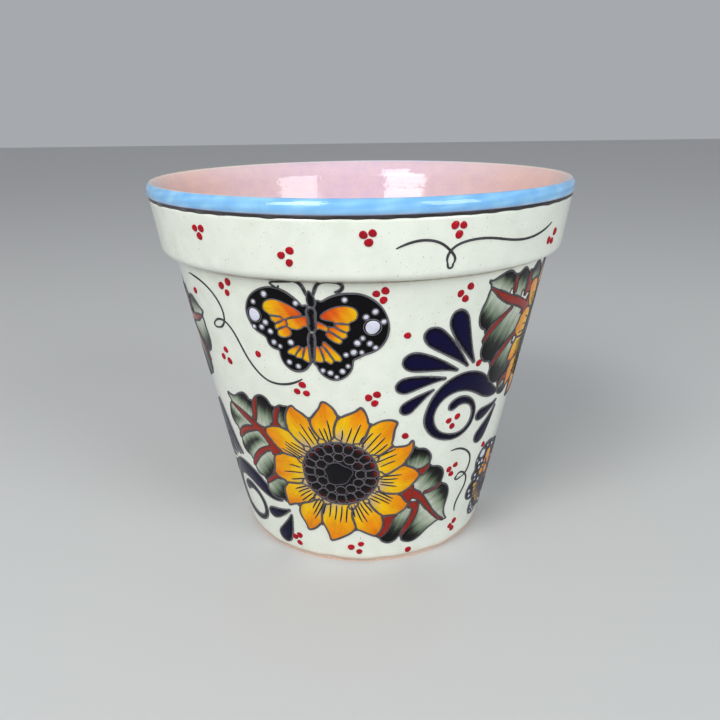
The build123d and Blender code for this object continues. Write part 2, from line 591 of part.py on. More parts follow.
# ---------------------------------------------------------------- glaze coats
with BuildPart() as wall_glaze:
    with BuildSketch(Plane.XZ):
        with BuildLine():
            Polyline(
                (wall_cone.radius(foot_bare) - bare, foot_bare), (wall_cone.radius(foot_bare), foot_bare),
                (wall_cone.radius(collar_bottom), collar_bottom),
                (wall_cone.radius(collar_bottom) - bare, collar_bottom), close=True,
            )
        make_face()
    revolve(axis=Axis.Z)
write("wall_glaze", wall_glaze.part)

coats = {
    "collar_glaze": ((lip_crest[0] - 20, 150), (collar_bottom, collar_high[1])),
    "lip_line": ((lip_crest[0] - 3, 150), (collar_high[1], line_top)),
    "lip_glaze": ((lip_crest[0], 150), (line_top, height)),
}
for name, (radii, heights) in coats.items():
    section = collar_coat(radii, heights)
    with BuildPart() as coat_ring:
        add(section.sketch)
        revolve(axis=Axis.Z)
    write(name, coat_ring.part)

lip_coat = collar_coat((120, lip_crest[0]), (collar_high[1], height))
with BuildPart() as interior_glaze:
    with BuildSketch(Plane.XZ):
        with BuildLine():
            Polyline(
                (drain_bare, floor_top), (inner_foot + coat, floor_top), (inner_low + coat, inner_bend),
                (inner_top_radius + coat, collar_high[1]), (inner_top_radius, collar_high[1]),
                (inner_low, inner_bend), (wall_cone.radius(floor_top + coat) - wall_thickness, floor_top + coat),
                (drain_bare, floor_top + coat), close=True,
            )
        make_face()
        add(lip_coat.sketch_local)
    revolve(axis=Axis.Z)
write("interior_glaze", interior_glaze.part)

# ---------------------------------------------------------------- relief nodes
def seeds(flower):
    """The rings of seeds round a sunflower's heart."""
    buttons = []
    for ring_radius, count, out, across in seed_rings:
        for k in range(count):
            turn = 2 * pi * k / count
            x = disc_centre[0] + ring_radius * cos(turn)
            y = disc_centre[1] + ring_radius * sin(turn)
            direction = 360 * k / count + flower.turn
            buttons.append((flower, x, y, out, across, direction))
    return buttons


left_hub, right_hub, high_hub = (33, -10), (55, -25), (-30, 65)
scroll_hub = (-58, 22)
low_leaves = [(front_left, left_hub, low_left_blades, low_left_veins),
              (low_flower, right_hub, low_right_blades, low_right_veins)]
high_leaves = [(front_right, high_hub, high_blades, high_veins),
               (high_right_leaf, high_hub, high_blades[:5], high_veins[:5])]
flowers = {
    "low": (low_flower, low_scroll, low_leaves),
    "high": (high_flower, front_right, high_leaves),
}
butterflies = {"high": high_butterfly, "low": low_butterfly}

for back in turns:
    side = "back" if back else "front"
    for kind, (flower_place, scroll_place, leaves) in flowers.items():
        flower = around(flower_place, back)
        theta = hub_angle(wall_cone, flower)
        plane = hub_plane(wall_cone, flower)
        disc = draw_round(wall_cone, flower, disc_centre, disc_radius)
        heart = draw_round(wall_cone, flower, heart_centre, heart_radius)
        write_pads(f"{kind}_sunflower_{side}_seed_head", wall_cone, [(plane, [disc], [])], theta)
        write_pads(f"{kind}_sunflower_{side}_heart", wall_cone, [(plane, [heart], [])], theta, second_layer)
        write_buttons(f"{kind}_sunflower_{side}_seeds", wall_cone, seeds(flower), second_layer)
        write_pads(f"{kind}_sunflower_{side}_petals", wall_cone,
                   [(plane, [draw_petals(wall_cone, flower)], [])], theta)
        petals_room = draw_petal_room(wall_cone, flower)
        vein_groups, blade_groups, leaf_cuts = [], [], []
        for leaf_place, hub, blades, veins in leaves:
            leaf = around(leaf_place, back)
            leaf_plane = hub_plane(wall_cone, leaf, hub)
            veins_room = draw_stroke_room(wall_cone, leaf, veins, vein_gap)
            vein_groups.append((leaf_plane, [draw_strokes(wall_cone, leaf, veins)], [petals_room]))
            blade_groups.append((leaf_plane, [draw_blades(wall_cone, leaf, blades)],
                                 [petals_room, veins_room]))
            leaf_cuts.append([draw_blades(wall_cone, leaf, blades, 0), veins_room])
        write_pads(f"{kind}_leaf_{side}_veins", wall_cone, vein_groups, theta)
        write_pads(f"{kind}_leaf_{side}_blades", wall_cone, blade_groups, theta)
        scroll = around(scroll_place, back)
        strokes = [spiral] + [feather(*each) for each in scroll_feathers]
        write_pads(f"{kind}_scroll_{side}", wall_cone,
                   [(hub_plane(wall_cone, scroll, scroll_hub),
                     [draw_strokes(wall_cone, scroll, strokes)], leaf_cuts[0])],
                   hub_angle(wall_cone, scroll, scroll_hub))

    for kind, butterfly_place in butterflies.items():
        butterfly = around(butterfly_place, back)
        name = f"{kind}_butterfly_{side}"
        theta = hub_angle(wall_cone, butterfly)
        plane = hub_plane(wall_cone, butterfly)
        trunk = draw_strokes(wall_cone, butterfly, body_parts)
        feelers = draw_strokes(wall_cone, butterfly, [even_stroke(each) for each in antennae])
        write_pads(f"{name}_wings", wall_cone,
                   [(plane, [draw_blades(wall_cone, butterfly, wings)], [trunk])], theta)
        write_pads(f"{name}_body", wall_cone, [(plane, [trunk, feelers], [])], theta)
        write_pads(f"{name}_cells", wall_cone,
                   [(plane, [draw_blades(wall_cone, butterfly, cells, -cell_inset)], [])], theta, second_layer)
        write_buttons(f"{name}_spots", wall_cone,
                      [(butterfly, x, y, r, r, 0) for x, y, r in spots], second_layer)

# ---------------------------------------------------------------- lines and dots
wall_lines, collar_lines, wall_buttons, collar_buttons = [], [], [], []
for back in turns:
    for place, strokes in zip((front_left, front_right), wall_flourishes):
        placed = around(place, back)
        lines = [even_stroke(stroke) for stroke in strokes]
        wall_lines.append((hub_plane(wall_cone, placed, strokes[0][-1]),
                           [draw_strokes(wall_cone, placed, lines)], []))
    placed = around(collar_front, back)
    for stroke in collar_flourish:
        collar_lines.append((hub_plane(collar_cone, placed, stroke[len(stroke) // 2]),
                             [draw_strokes(collar_cone, placed, [even_stroke(stroke)])], []))
    for x, y in wall_dots:
        wall_buttons.append((around(dots_front, back), x, y, dot_radius, dot_radius, 0))
    for x, y in collar_dots:
        collar_buttons.append((placed, x, y, dot_radius, dot_radius, 0))
write_pads("wall_flourishes", wall_cone, wall_lines, 0)
write_pads("collar_flourishes", collar_cone, collar_lines, 0)
write_buttons("wall_dots", wall_cone, wall_buttons)
write_buttons("collar_dots", collar_cone, collar_buttons)
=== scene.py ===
"""Looks of the glazed flower pot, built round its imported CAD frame.  Metres, +Z up, -Y the front.

Every coat and every pad of relief is rebuilt from the outline of its CAD node: coats as slightly
uneven thrown surfaces, pads as pillowed pools of glaze between raised slip lines.
"""
import math

import bpy
import numpy as np
from mathutils import Matrix, Vector, geometry


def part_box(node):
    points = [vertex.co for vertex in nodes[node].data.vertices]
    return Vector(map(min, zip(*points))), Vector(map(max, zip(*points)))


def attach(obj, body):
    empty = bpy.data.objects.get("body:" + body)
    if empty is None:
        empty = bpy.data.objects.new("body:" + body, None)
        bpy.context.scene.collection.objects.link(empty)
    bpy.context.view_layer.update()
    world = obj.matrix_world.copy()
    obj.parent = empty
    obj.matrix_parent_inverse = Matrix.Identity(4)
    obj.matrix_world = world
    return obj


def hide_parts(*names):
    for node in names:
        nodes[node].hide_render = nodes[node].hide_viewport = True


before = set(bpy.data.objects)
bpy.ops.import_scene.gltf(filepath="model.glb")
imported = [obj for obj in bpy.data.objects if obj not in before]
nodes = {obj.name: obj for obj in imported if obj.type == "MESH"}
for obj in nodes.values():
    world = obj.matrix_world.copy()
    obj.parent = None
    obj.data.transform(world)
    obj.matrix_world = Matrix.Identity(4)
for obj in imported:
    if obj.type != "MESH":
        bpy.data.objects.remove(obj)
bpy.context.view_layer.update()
mm = 0.001
rng = np.random.default_rng(7)


# ---------------------------------------------------------------- the thrown surfaces
def ring_radius(node, z):
    """Largest radius of a CAD node's vertices at a height."""
    co = np.array([v.co for v in nodes[node].data.vertices])
    near = np.abs(co[:, 2] - z) < 0.05 * mm
    return float(np.hypot(co[near, 0], co[near, 1]).max())


def wobble(theta, z):
    """How far the hand-thrown glaze surface stands off its true form."""
    slow = np.sin(2 * theta + 0.7 + 8 * z) + 0.7 * np.sin(3 * theta - 1.1 - 19 * z)
    mid = np.sin(7 * theta + 55 * z + 0.4) + 0.8 * np.sin(11 * theta - 71 * z)
    fine = np.sin(19 * theta + 140 * z) * np.sin(23 * theta - 90 * z + 1.9)
    return (0.14 * slow + 0.06 * mid + 0.04 * fine) * mm


class Cone:
    """A conical face and its unrolled x, y plane, with the height above the face as a third axis."""

    def __init__(self, low, high):
        self.r0, self.z0 = low
        self.angle = math.atan2(high[0] - low[0], high[1] - low[1])
        self.sin, self.cos = math.sin(self.angle), math.cos(self.angle)

    def radius(self, z):
        return self.r0 + (z - self.z0) * math.tan(self.angle)

    def slant(self, points):
        r = np.hypot(points[:, 0], points[:, 1])
        up = points[:, 2] - self.z0
        return self.r0 / self.sin + (r - self.r0) * self.sin + up * self.cos

    def lift(self, points):
        r = np.hypot(points[:, 0], points[:, 1])
        return (r - self.r0) * self.cos - (points[:, 2] - self.z0) * self.sin

    def hub(self, points):
        middle = points.mean(0)
        return math.atan2(middle[1], middle[0]), float(self.slant(points).mean())

    def unroll(self, points, hub):
        turn = np.arctan2(points[:, 1], points[:, 0]) - hub[0]
        turn = (turn + math.pi) % (2 * math.pi) - math.pi
        reach = self.slant(points)
        return np.stack([reach * np.sin(turn * self.sin), reach * np.cos(turn * self.sin) - hub[1]], 1)

    def roll(self, flat, hub):
        """x, y and height back onto the uneven glaze surface."""
        x, y = flat[:, 0], flat[:, 1] + hub[1]
        reach = np.hypot(x, y)
        theta = hub[0] + np.arctan2(x, y) / self.sin
        along = reach - self.r0 / self.sin
        z = self.z0 + along * self.cos
        height = flat[:, 2] + wobble(theta, z)
        r = self.r0 + along * self.sin + height * self.cos
        return np.stack([r * np.cos(theta), r * np.sin(theta), z - height * self.sin], 1)


wall_low, wall_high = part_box("wall_glaze")
collar_low, collar_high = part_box("collar_glaze")
lip_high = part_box("lip_glaze")[1]
floor_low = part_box("interior_glaze")[0]
wall = Cone((ring_radius("wall_glaze", wall_low.z), wall_low.z),
            (ring_radius("wall_glaze", wall_high.z), wall_high.z))
collar_slope = 5.2 / 32.7
collar_face = 30 * mm
collar = Cone((collar_high.x - collar_slope * collar_face, collar_high.z - collar_face),
              (collar_high.x, collar_high.z))


# ---------------------------------------------------------------- colours
def rgb(code):
    """A colour written as six hex digits, in linear light."""
    value = [int(code[k:k + 2], 16) / 255 for k in (0, 2, 4)]
    return np.array([c / 12.92 if c < 0.04045 else ((c + 0.055) / 1.055) ** 2.4 for c in value])


def blend(stops, t):
    """Colours at t from (position, colour) stops."""
    t = np.asarray(t, float)
    at = [s[0] for s in stops]
    return np.stack([np.interp(t, at, [s[1][k] for s in stops]) for k in range(3)], 1)


# ---------------------------------------------------------------- meshes
class Pile:
    """Closed bodies gathered into one mesh, faces turned outwards, with a colour and flow by vertex."""

    def __init__(self):
        self.points, self.faces, self.colours, self.flows = [], [], [], []
        self.count = 0

    def add(self, points, faces, colours, flows=None):
        colours = np.broadcast_to(np.asarray(colours, float), (len(points), 3))
        flows = np.zeros((len(points), 3)) if flows is None else np.asarray(flows, float)
        fans = np.array([(face[0], face[k], face[k + 1]) for face in faces for k in range(1, len(face) - 1)])
        a, b, c = (points[fans[:, k]] - points[0] for k in range(3))
        step = 1 if np.sum(a * np.cross(b, c)) > 0 else -1
        self.faces += [[self.count + k for k in face[::step]] for face in faces]
        self.points.append(points)
        self.colours.append(colours)
        self.flows.append(flows)
        self.count += len(points)

    def build(self, name, material, slot, *replaced):
        mesh = bpy.data.meshes.new(name)
        points = np.concatenate(self.points)
        mesh.from_pydata(points.tolist(), [], self.faces)
        colour = mesh.attributes.new("tint", "FLOAT_COLOR", "POINT")
        full = np.concatenate([np.concatenate(self.colours), np.ones((len(points), 1))], 1)
        colour.data.foreach_set("color", full.astype(np.float32).ravel())
        flow = mesh.attributes.new("flow", "FLOAT_VECTOR", "POINT")
        flow.data.foreach_set("vector", np.concatenate(self.flows).astype(np.float32).ravel())
        mesh.polygons.foreach_set("use_smooth", [True] * len(mesh.polygons))
        mesh.update()
        piece = bpy.data.objects.new(name, mesh)
        bpy.context.scene.collection.objects.link(piece)
        piece.data.materials.append(material)
        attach(piece, "root")
        if replaced:
            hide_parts(*replaced)
        return piece


def welded(node):
    """A CAD node's points with doubles merged, and the number of each vertex's merged point."""
    co = np.array([v.co for v in nodes[node].data.vertices], float)
    merged, same = np.unique(np.round(co / (0.002 * mm)).astype(np.int64), axis=0, return_inverse=True)
    same = np.asarray(same).ravel()
    place = np.zeros((len(merged), 3))
    place[same] = co
    return place, same


def outlines(node, cone):
    """Outer edges of a CAD node's pads: closed runs of points round the faces that lie on top."""
    place, same = welded(node)
    lift = cone.lift(place)
    top = lift.max() - 0.12 * mm
    following = {}
    for polygon in nodes[node].data.polygons:
        ring = [int(same[k]) for k in polygon.vertices]
        if min(lift[k] for k in ring) < top:
            continue
        for a, b in zip(ring, ring[1:] + ring[:1]):
            if b in following and a in following[b]:
                following[b].remove(a)
            else:
                following.setdefault(a, []).append(b)
    loops = []
    while any(following.values()):
        start = next(a for a, b in following.items() if b)
        loop, here = [start], start
        while following.get(here):
            here = following[here].pop()
            if here == start:
                break
            loop.append(here)
        if len(loop) > 4:
            loops.append(place[loop])
    return loops


def evenly(run, spacing, closed=True):
    """The run of 2-D points with equal steps between them."""
    if closed:
        run = np.concatenate([run, run[:1]])
    steps = np.hypot(*np.diff(run, axis=0).T)
    way = np.concatenate([[0], np.cumsum(steps)])
    count = max(8 if closed else 3, int(round(way[-1] / spacing)))
    at = np.linspace(0, way[-1], count + 1)
    if closed:
        at = at[:-1]
    return np.stack([np.interp(at, way, run[:, k]) for k in range(2)], 1)


def area(run):
    """The area inside a closed run, negative if it is clockwise."""
    x, y = run[:, 0], run[:, 1]
    return 0.5 * float(np.sum(x * np.roll(y, -1) - y * np.roll(x, -1)))


def anticlockwise(run):
    return run if area(run) > 0 else run[::-1]


def outward(run):
    """Unit normals of a closed anticlockwise run, pointing out of it."""
    along = np.roll(run, -1, 0) - np.roll(run, 1, 0)
    along /= np.maximum(np.hypot(*along.T), 1e-9)[:, None]
    return np.stack([along[:, 1], -along[:, 0]], 1)


def inside(points, run):
    """Which points lie within a closed run."""
    x, y = points[:, 0][:, None], points[:, 1][:, None]
    ax, ay = run[:, 0][None], run[:, 1][None]
    bx, by = np.roll(run[:, 0], -1)[None], np.roll(run[:, 1], -1)[None]
    crosses = (ay > y) != (by > y)
    at = ax + (y - ay) * (bx - ax) / np.where(np.abs(by - ay) < 1e-12, 1e-12, by - ay)
    return (crosses & (x < at)).sum(1) % 2 == 1


def edge_distance(points, run):
    """How far each point is from the nearest side of a closed run."""
    a, b = run[None], np.roll(run, -1, 0)[None]
    p = points[:, None]
    ab = b - a
    t = np.clip(((p - a) * ab).sum(2) / np.maximum((ab * ab).sum(2), 1e-18), 0, 1)
    return np.hypot(*np.moveaxis(p - a - t[..., None] * ab, 2, 0)).min(1)


def spread(runs, reach, walls, rest=0.3 * mm, facing=0.6):
    """Neighbouring runs swollen until they meet one another, or a wall (points, reach), within reach."""
    for _ in range(14):
        for k, run in enumerate(runs):
            way = outward(run)
            step = np.zeros(len(run))
            near = [(r, reach) for j, r in enumerate(runs) if j != k] + walls
            for points, limit in near:
                gaps = points[None] - run[:, None]
                far = np.hypot(gaps[..., 0], gaps[..., 1])
                ahead = (gaps * way[:, None]).sum(2) > facing * far
                gap = np.where(ahead, far, 1.0).min(1)
                step = np.maximum(step, np.where(gap < limit, np.clip(gap - rest, 0, 0.35 * mm), 0))
                touching = far.min(1) < rest
                step = np.where(touching, -1.0, step)
            step = np.maximum(step, 0)
            step = (np.roll(step, 1) + 2 * step + np.roll(step, -1)) / 4
            runs[k] = evenly(run + way * step[:, None], 0.8 * mm)
    return runs


def pool(run, spacing, edge, dome, soft, sunk=0.35 * mm):
    """A closed pool of glaze over an outline: points, faces, and each point's distance from the edge."""
    low, high = run.min(0), run.max(0)
    rows = np.arange(low[1], high[1], spacing * 0.866)
    grid = []
    for k, y in enumerate(rows):
        xs = np.arange(low[0] + (k % 2) * spacing / 2, high[0], spacing)
        grid.append(np.stack([xs, np.full(len(xs), y)], 1))
    grid = np.concatenate(grid) if grid else np.zeros((0, 2))
    if len(grid):
        grid = grid + rng.uniform(-0.12, 0.12, grid.shape) * spacing
        grid = grid[inside(grid, run)]
    if len(grid):
        grid = grid[edge_distance(grid, run) > 0.55 * spacing]
    points = np.concatenate([run, grid]) * 1000
    loop = list(range(len(run)))
    found = geometry.delaunay_2d_cdt([Vector(p) for p in points.tolist()], [], [loop], 1, 1e-4)
    flat = np.array([tuple(v) for v in found[0]]) / 1000
    faces = [list(f) for f in found[2]]
    if not faces:
        return None
    used = {}
    for face in faces:
        for a, b in zip(face, face[1:] + face[:1]):
            used[(a, b)] = used.get((a, b), 0) + 1
    rim = [e for e in used if (e[1], e[0]) not in used]
    away = edge_distance(flat, run)
    height = edge + dome * (1 - np.exp(-away / soft))
    n = len(flat)
    top = np.concatenate([flat, height[:, None]], 1)
    bottom = np.concatenate([flat, np.full((n, 1), -sunk)], 1)
    faces = faces + [[n + k for k in reversed(f)] for f in faces] + [[b, a, n + a, n + b] for a, b in rim]
    return np.concatenate([top, bottom]), faces, np.concatenate([away, away])


def bead(run, half, high, closed=True, sunk=0.3 * mm, sides=9):
    """A raised line along a run of x, y points: half width and height may vary along it."""
    count = len(run)
    half = np.broadcast_to(half, (count,))
    high = np.broadcast_to(high, (count,))
    if closed:
        along = np.roll(run, -1, 0) - np.roll(run, 1, 0)
    else:
        along = np.gradient(run, axis=0)
    along = along / np.maximum(np.hypot(*along.T), 1e-9)[:, None]
    side = np.stack([along[:, 1], -along[:, 0]], 1)
    turn = np.linspace(0, 2 * math.pi, sides, endpoint=False) + math.pi / sides
    rings = []
    for a in turn:
        reach, rise = math.cos(a), math.sin(a)
        where = run + side * (half * reach)[:, None]
        level = high * rise if rise > 0 else np.full(count, sunk * rise)
        rings.append(np.concatenate([where, level[:, None]], 1))
    points = np.stack(rings, 1).reshape(-1, 3)
    faces = []
    for k in range(count if closed else count - 1):
        here, there = k * sides, ((k + 1) % count) * sides
        for j in range(sides):
            i = (j + 1) % sides
            faces.append([here + j, here + i, there + i, there + j])
    if not closed:
        last = (count - 1) * sides
        faces += [list(range(sides))[::-1], [last + j for j in range(sides)]]
    return points, faces


def drop(centre, radius, high, rings=5, sides=20, out=1.0, direction=0.0, sunk=0.3 * mm):
    """A small domed drop of glaze, slightly out of round."""
    points, faces = [], []
    lean = rng.uniform(0, 2 * math.pi)
    for k in range(rings + 1):
        up = math.sin(0.5 * math.pi * k / rings)
        wide = math.cos(0.5 * math.pi * k / rings) if k < rings else 0.0
        if k == rings:
            points.append([centre[0], centre[1], high])
            continue
        for j in range(sides):
            a = 2 * math.pi * j / sides
            r = radius * wide ** 0.75 * (1 + 0.05 * math.sin(2 * a + lean) + 0.03 * math.sin(3 * a - lean))
            x, y = r * out * math.cos(a), r * math.sin(a)
            c, s = math.cos(direction), math.sin(direction)
            points.append([centre[0] + c * x - s * y, centre[1] + s * x + c * y, high * up])
    tip = len(points) - 1
    base = len(points)
    for j in range(sides):
        points.append([points[j][0], points[j][1], -sunk])
    for k in range(rings - 1):
        for j in range(sides):
            i = (j + 1) % sides
            faces.append([k * sides + j, k * sides + i, (k + 1) * sides + i, (k + 1) * sides + j])
    for j in range(sides):
        i = (j + 1) % sides
        faces.append([(rings - 1) * sides + j, (rings - 1) * sides + i, tip])
        faces.append([base + j, base + i, i, j])
    faces.append([base + j for j in reversed(range(sides))])
    return np.array(points), faces


def lathe(profile, segments, uneven):
    """A ring turned from a closed profile of (radius, height); uneven is each point's share of wobble."""
    profile = np.array(profile)
    turn = np.linspace(0, 2 * math.pi, segments, endpoint=False)
    r = profile[:, 0][:, None] + wobble(turn[None], profile[:, 1][:, None]) * np.array(uneven, float)[:, None]
    z = np.repeat(profile[:, 1][:, None], segments, 1)
    points = np.stack([r * np.cos(turn), r * np.sin(turn), z], 2).reshape(-1, 3)
    faces = []
    count = len(profile)
    for k in range(count):
        n = (k + 1) % count
        for j in range(segments):
            i = (j + 1) % segments
            faces.append([k * segments + j, n * segments + j, n * segments + i, k * segments + i])
    return points, faces


def bow(a, b, c, count):
    """Points of the arc from a to c through b."""
    (ax, ay), (bx, by), (cx, cy) = a, b, c
    d = 2 * (ax * (by - cy) + bx * (cy - ay) + cx * (ay - by))
    aa, bb, cc = ax * ax + ay * ay, bx * bx + by * by, cx * cx + cy * cy
    ux = (aa * (by - cy) + bb * (cy - ay) + cc * (ay - by)) / d
    uy = (aa * (cx - bx) + bb * (ax - cx) + cc * (bx - ax)) / d
    r = math.hypot(ax - ux, ay - uy)
    first, middle, last = (math.atan2(y - uy, x - ux) for x, y in (a, b, c))
    middle = first + (middle - first + math.pi) % (2 * math.pi) - math.pi
    last = middle + (last - middle + math.pi) % (2 * math.pi) - math.pi
    return [(ux + r * math.cos(t), uy + r * math.sin(t)) for t in np.linspace(first, last, count)]


def line(a, b, count):
    """Points evenly spaced from a to b."""
    return [(a[0] + (b[0] - a[0]) * t, a[1] + (b[1] - a[1]) * t) for t in np.linspace(0, 1, count)]


# ---------------------------------------------------------------- materials
class Shader:
    """A node tree with a few short-hands."""

    def __init__(self, name, roughness, coat=0.0, ior=1.5):
        self.material = bpy.data.materials.new(name)
        self.material.use_nodes = True
        self.tree = self.material.node_tree
        self.skin = self.tree.nodes["Principled BSDF"]
        self.set("Roughness", roughness)
        self.set("IOR", ior)
        self.set("Coat Weight", coat)
        self.set("Coat Roughness", 0.06)

    def set(self, socket, value):
        self.skin.inputs[socket].default_value = value

    def node(self, kind, **values):
        made = self.tree.nodes.new(kind)
        for key, value in values.items():
            if hasattr(made, key):
                setattr(made, key, value)
            else:
                made.inputs[key.replace("_", " ")].default_value = value
        return made

    def link(self, a, b):
        self.tree.links.new(a, b)

    def attribute(self, name, output):
        return self.node("ShaderNodeAttribute", attribute_name=name).outputs[output]

    def noise(self, scale, detail=3.0, where=None, rough=0.5, warp=0.0):
        made = self.node("ShaderNodeTexNoise", Scale=scale, Detail=detail, Roughness=rough, Distortion=warp)
        self.link(where or self.node("ShaderNodeTexCoord").outputs["Object"], made.inputs["Vector"])
        return made.outputs["Fac"]

    def stretched(self, where, factors):
        made = self.node("ShaderNodeMapping")
        made.inputs["Scale"].default_value = factors
        self.link(where, made.inputs["Vector"])
        return made.outputs["Vector"]

    def ramp(self, value, low, high, start=0.0, end=1.0):
        made = self.node("ShaderNodeMapRange")
        for key, number in (("From Min", low), ("From Max", high), ("To Min", start), ("To Max", end)):
            made.inputs[key].default_value = number
        self.link(value, made.inputs["Value"])
        return made.outputs["Result"]

    def mix(self, factor, first, second, mode="MIX"):
        made = self.node("ShaderNodeMix", data_type="RGBA", blend_type=mode)
        for socket, value in ((made.inputs[0], factor), (made.inputs[6], first), (made.inputs[7], second)):
            if isinstance(value, bpy.types.NodeSocket):
                self.link(value, socket)
            elif isinstance(value, float):
                socket.default_value = value
            else:
                socket.default_value = (*value, 1.0)
        return made.outputs[2]

    def colour(self, value):
        self.link(value, self.skin.inputs["Base Color"])

    def bump(self, *layers):
        """Layers of (value, depth in metres)."""
        normal = None
        for value, depth in layers:
            made = self.node("ShaderNodeBump", Distance=depth, Strength=1.0)
            self.link(value, made.inputs["Height"])
            if normal is not None:
                self.link(normal, made.inputs["Normal"])
            normal = made.outputs["Normal"]
        self.link(normal, self.skin.inputs["Normal"])


def glaze(name, roughness=0.16, streak=(0.0, 0.0), speck=0.25, depth=0.05, shine=0.4):
    """Coloured glaze over the tint attribute: brush streaks along the flow, specks and a soft skin."""
    shader = Shader(name, roughness)
    shader.set("Specular IOR Level", shine)
    tint = shader.attribute("tint", "Color")
    flow = shader.attribute("flow", "Vector")
    cloud = shader.noise(180.0, 4.0)
    shade = shader.mix(shader.ramp(cloud, 0.35, 0.7), (1.0, 1.0, 1.0), (1 - speck, 1 - speck, 1 - speck))
    toned = shader.mix(1.0, tint, shade, "MULTIPLY")
    layers = [(shader.noise(260.0, 2.0), depth * mm), (shader.noise(1500.0, 2.0), 0.012 * mm)]
    if streak[0]:
        hairs = shader.noise(1.0, 3.0, shader.stretched(flow, (streak[1] * 0.12, streak[1], 1.0)), 0.6)
        dark = shader.mix(shader.ramp(hairs, 0.42, 0.66), (1.0, 1.0, 1.0), (1 - streak[0],) * 3)
        toned = shader.mix(1.0, toned, dark, "MULTIPLY")
        layers.append((hairs, 0.06 * mm))
    shader.colour(toned)
    shader.bump(*layers)
    return shader.material


def coat_material(name, stops, roughness=0.1, crawl=0.05, coat=0.3, ripple=0.0):
    """A broad glossy coat: three close tones in clouds, tiny pits, and the ripples of a thrown wall."""
    shader = Shader(name, roughness, coat)
    tint = shader.attribute("tint", "Color")
    wide = shader.ramp(shader.noise(14.0, 4.0, warp=0.4), 0.3, 0.7)
    near = shader.ramp(shader.noise(90.0, 5.0), 0.35, 0.75)
    tone = shader.mix(wide, stops[0], stops[1])
    tone = shader.mix(near, tone, stops[2])
    toned = shader.mix(1.0, tint, tone, "MULTIPLY")
    pit = shader.ramp(shader.noise(900.0, 1.0), 0.72, 0.78)
    shader.colour(shader.mix(pit, toned, (0.42, 0.36, 0.30)))
    layers = [(shader.noise(38.0, 3.0), 0.35 * mm), (shader.noise(240.0, 2.0), crawl * mm)]
    if ripple:
        rings = shader.stretched(shader.node("ShaderNodeTexCoord").outputs["Object"], (0.25, 0.25, 1.0))
        layers.append((shader.noise(85.0, 2.0, rings), ripple * mm))
    shader.bump(*layers)
    return shader.material


white_coat = coat_material("white_glaze", [rgb("ebeee2"), rgb("e2e7db"), rgb("f1f4e9")])
blue_coat = coat_material("blue_glaze", [rgb("78b8f0"), rgb("84c2f4"), rgb("94cef6")], 0.08, 0.12)
pink_coat = coat_material("pink_glaze", [rgb("e8c8cb"), rgb("e2c4cd"), rgb("efd0cb")], 0.07, 0.16, ripple=0.6)
line_coat = glaze("line_glaze", 0.35, (0.35, 700.0), 0.3, shine=0.3)
outline_coat = glaze("outline_slip", 0.4, speck=0.35, depth=0.08, shine=0.3)
petal_coat = glaze("petal_glaze", 0.18, (0.15, 900.0), 0.1, shine=0.16)
leaf_coat = glaze("leaf_glaze", 0.2, (0.25, 1100.0), 0.2, shine=0.16)
dark_coat = glaze("dark_glaze", 0.14, speck=0.25, shine=0.1)
vivid_coat = glaze("vivid_glaze", 0.12, speck=0.15, shine=0.2)

clay = Shader("fired_clay", 0.85)
grain = clay.ramp(clay.noise(420.0, 5.0), 0.35, 0.7)
patch = clay.ramp(clay.noise(30.0, 3.0), 0.35, 0.65)
clay.colour(clay.mix(patch, clay.mix(grain, rgb("e3c9b8"), rgb("cfa990")), rgb("dcbfae")))
clay.bump((clay.noise(700.0, 4.0), 0.15 * mm), (clay.noise(90.0, 2.0), 0.2 * mm))
for node in ("pot_wall", "base_disc", "rim_collar"):
    nodes[node].data.materials.clear()
    nodes[node].data.materials.append(clay.material)


# ---------------------------------------------------------------- coats of glaze
def shell(outer, thick, end_in):
    """A closed profile: an outer run of (radius, height) and the same run moved inwards."""
    inner = [(r - thick * dr, z - thick * dz) for (r, z), (dr, dz) in zip(outer, end_in)]
    return outer + inner[::-1], [1] * len(outer) + [0] * len(inner)


segments = 384
thickness = 0.5 * mm
white = np.ones(3)
cream, sky, rose = rgb("e8e6dc"), rgb("94cdf8"), rgb("e9cccb")
step = 2 * mm

# the wall and its ragged edge over the bare foot
rows = int((wall_high.z - wall_low.z) / step)
run = line((wall.radius(wall_low.z), wall_low.z), (wall.radius(wall_high.z), wall_high.z), rows)
profile, uneven = shell(run, thickness, [(1.0, 0.0)] * len(run))
points, faces = lathe(profile, segments, uneven)
theta = np.arctan2(points[:, 1], points[:, 0])
low_part = np.clip(1 - (points[:, 2] - wall_low.z) / (6 * mm), 0, 1)
drip = 0.7 * np.sin(9 * theta) + 0.6 * np.sin(17 * theta + 1) + 0.4 * np.sin(31 * theta + 2)
points[:, 2] += low_part * drip * 0.5 * mm
# painted shade: the wall's coat darkens to beige-grey in its top 3.5 mm, under the overhanging collar
under = np.clip(1 - (wall_high.z - points[:, 2]) / (3.5 * mm), 0, 1) ** 1.5
pale = np.clip(1 - (points[:, 2] - wall_low.z) / (4 * mm), 0, 1) ** 1.5
tint = blend([(0, white), (1, rgb("c8bfae") / cream)], under)
tint *= blend([(0, white), (1, rgb("e0c8b8") / cream)], pale)
pile = Pile()
pile.add(points, faces, tint)
pile.build("wall_coat", white_coat, "white_glaze", "wall_glaze")

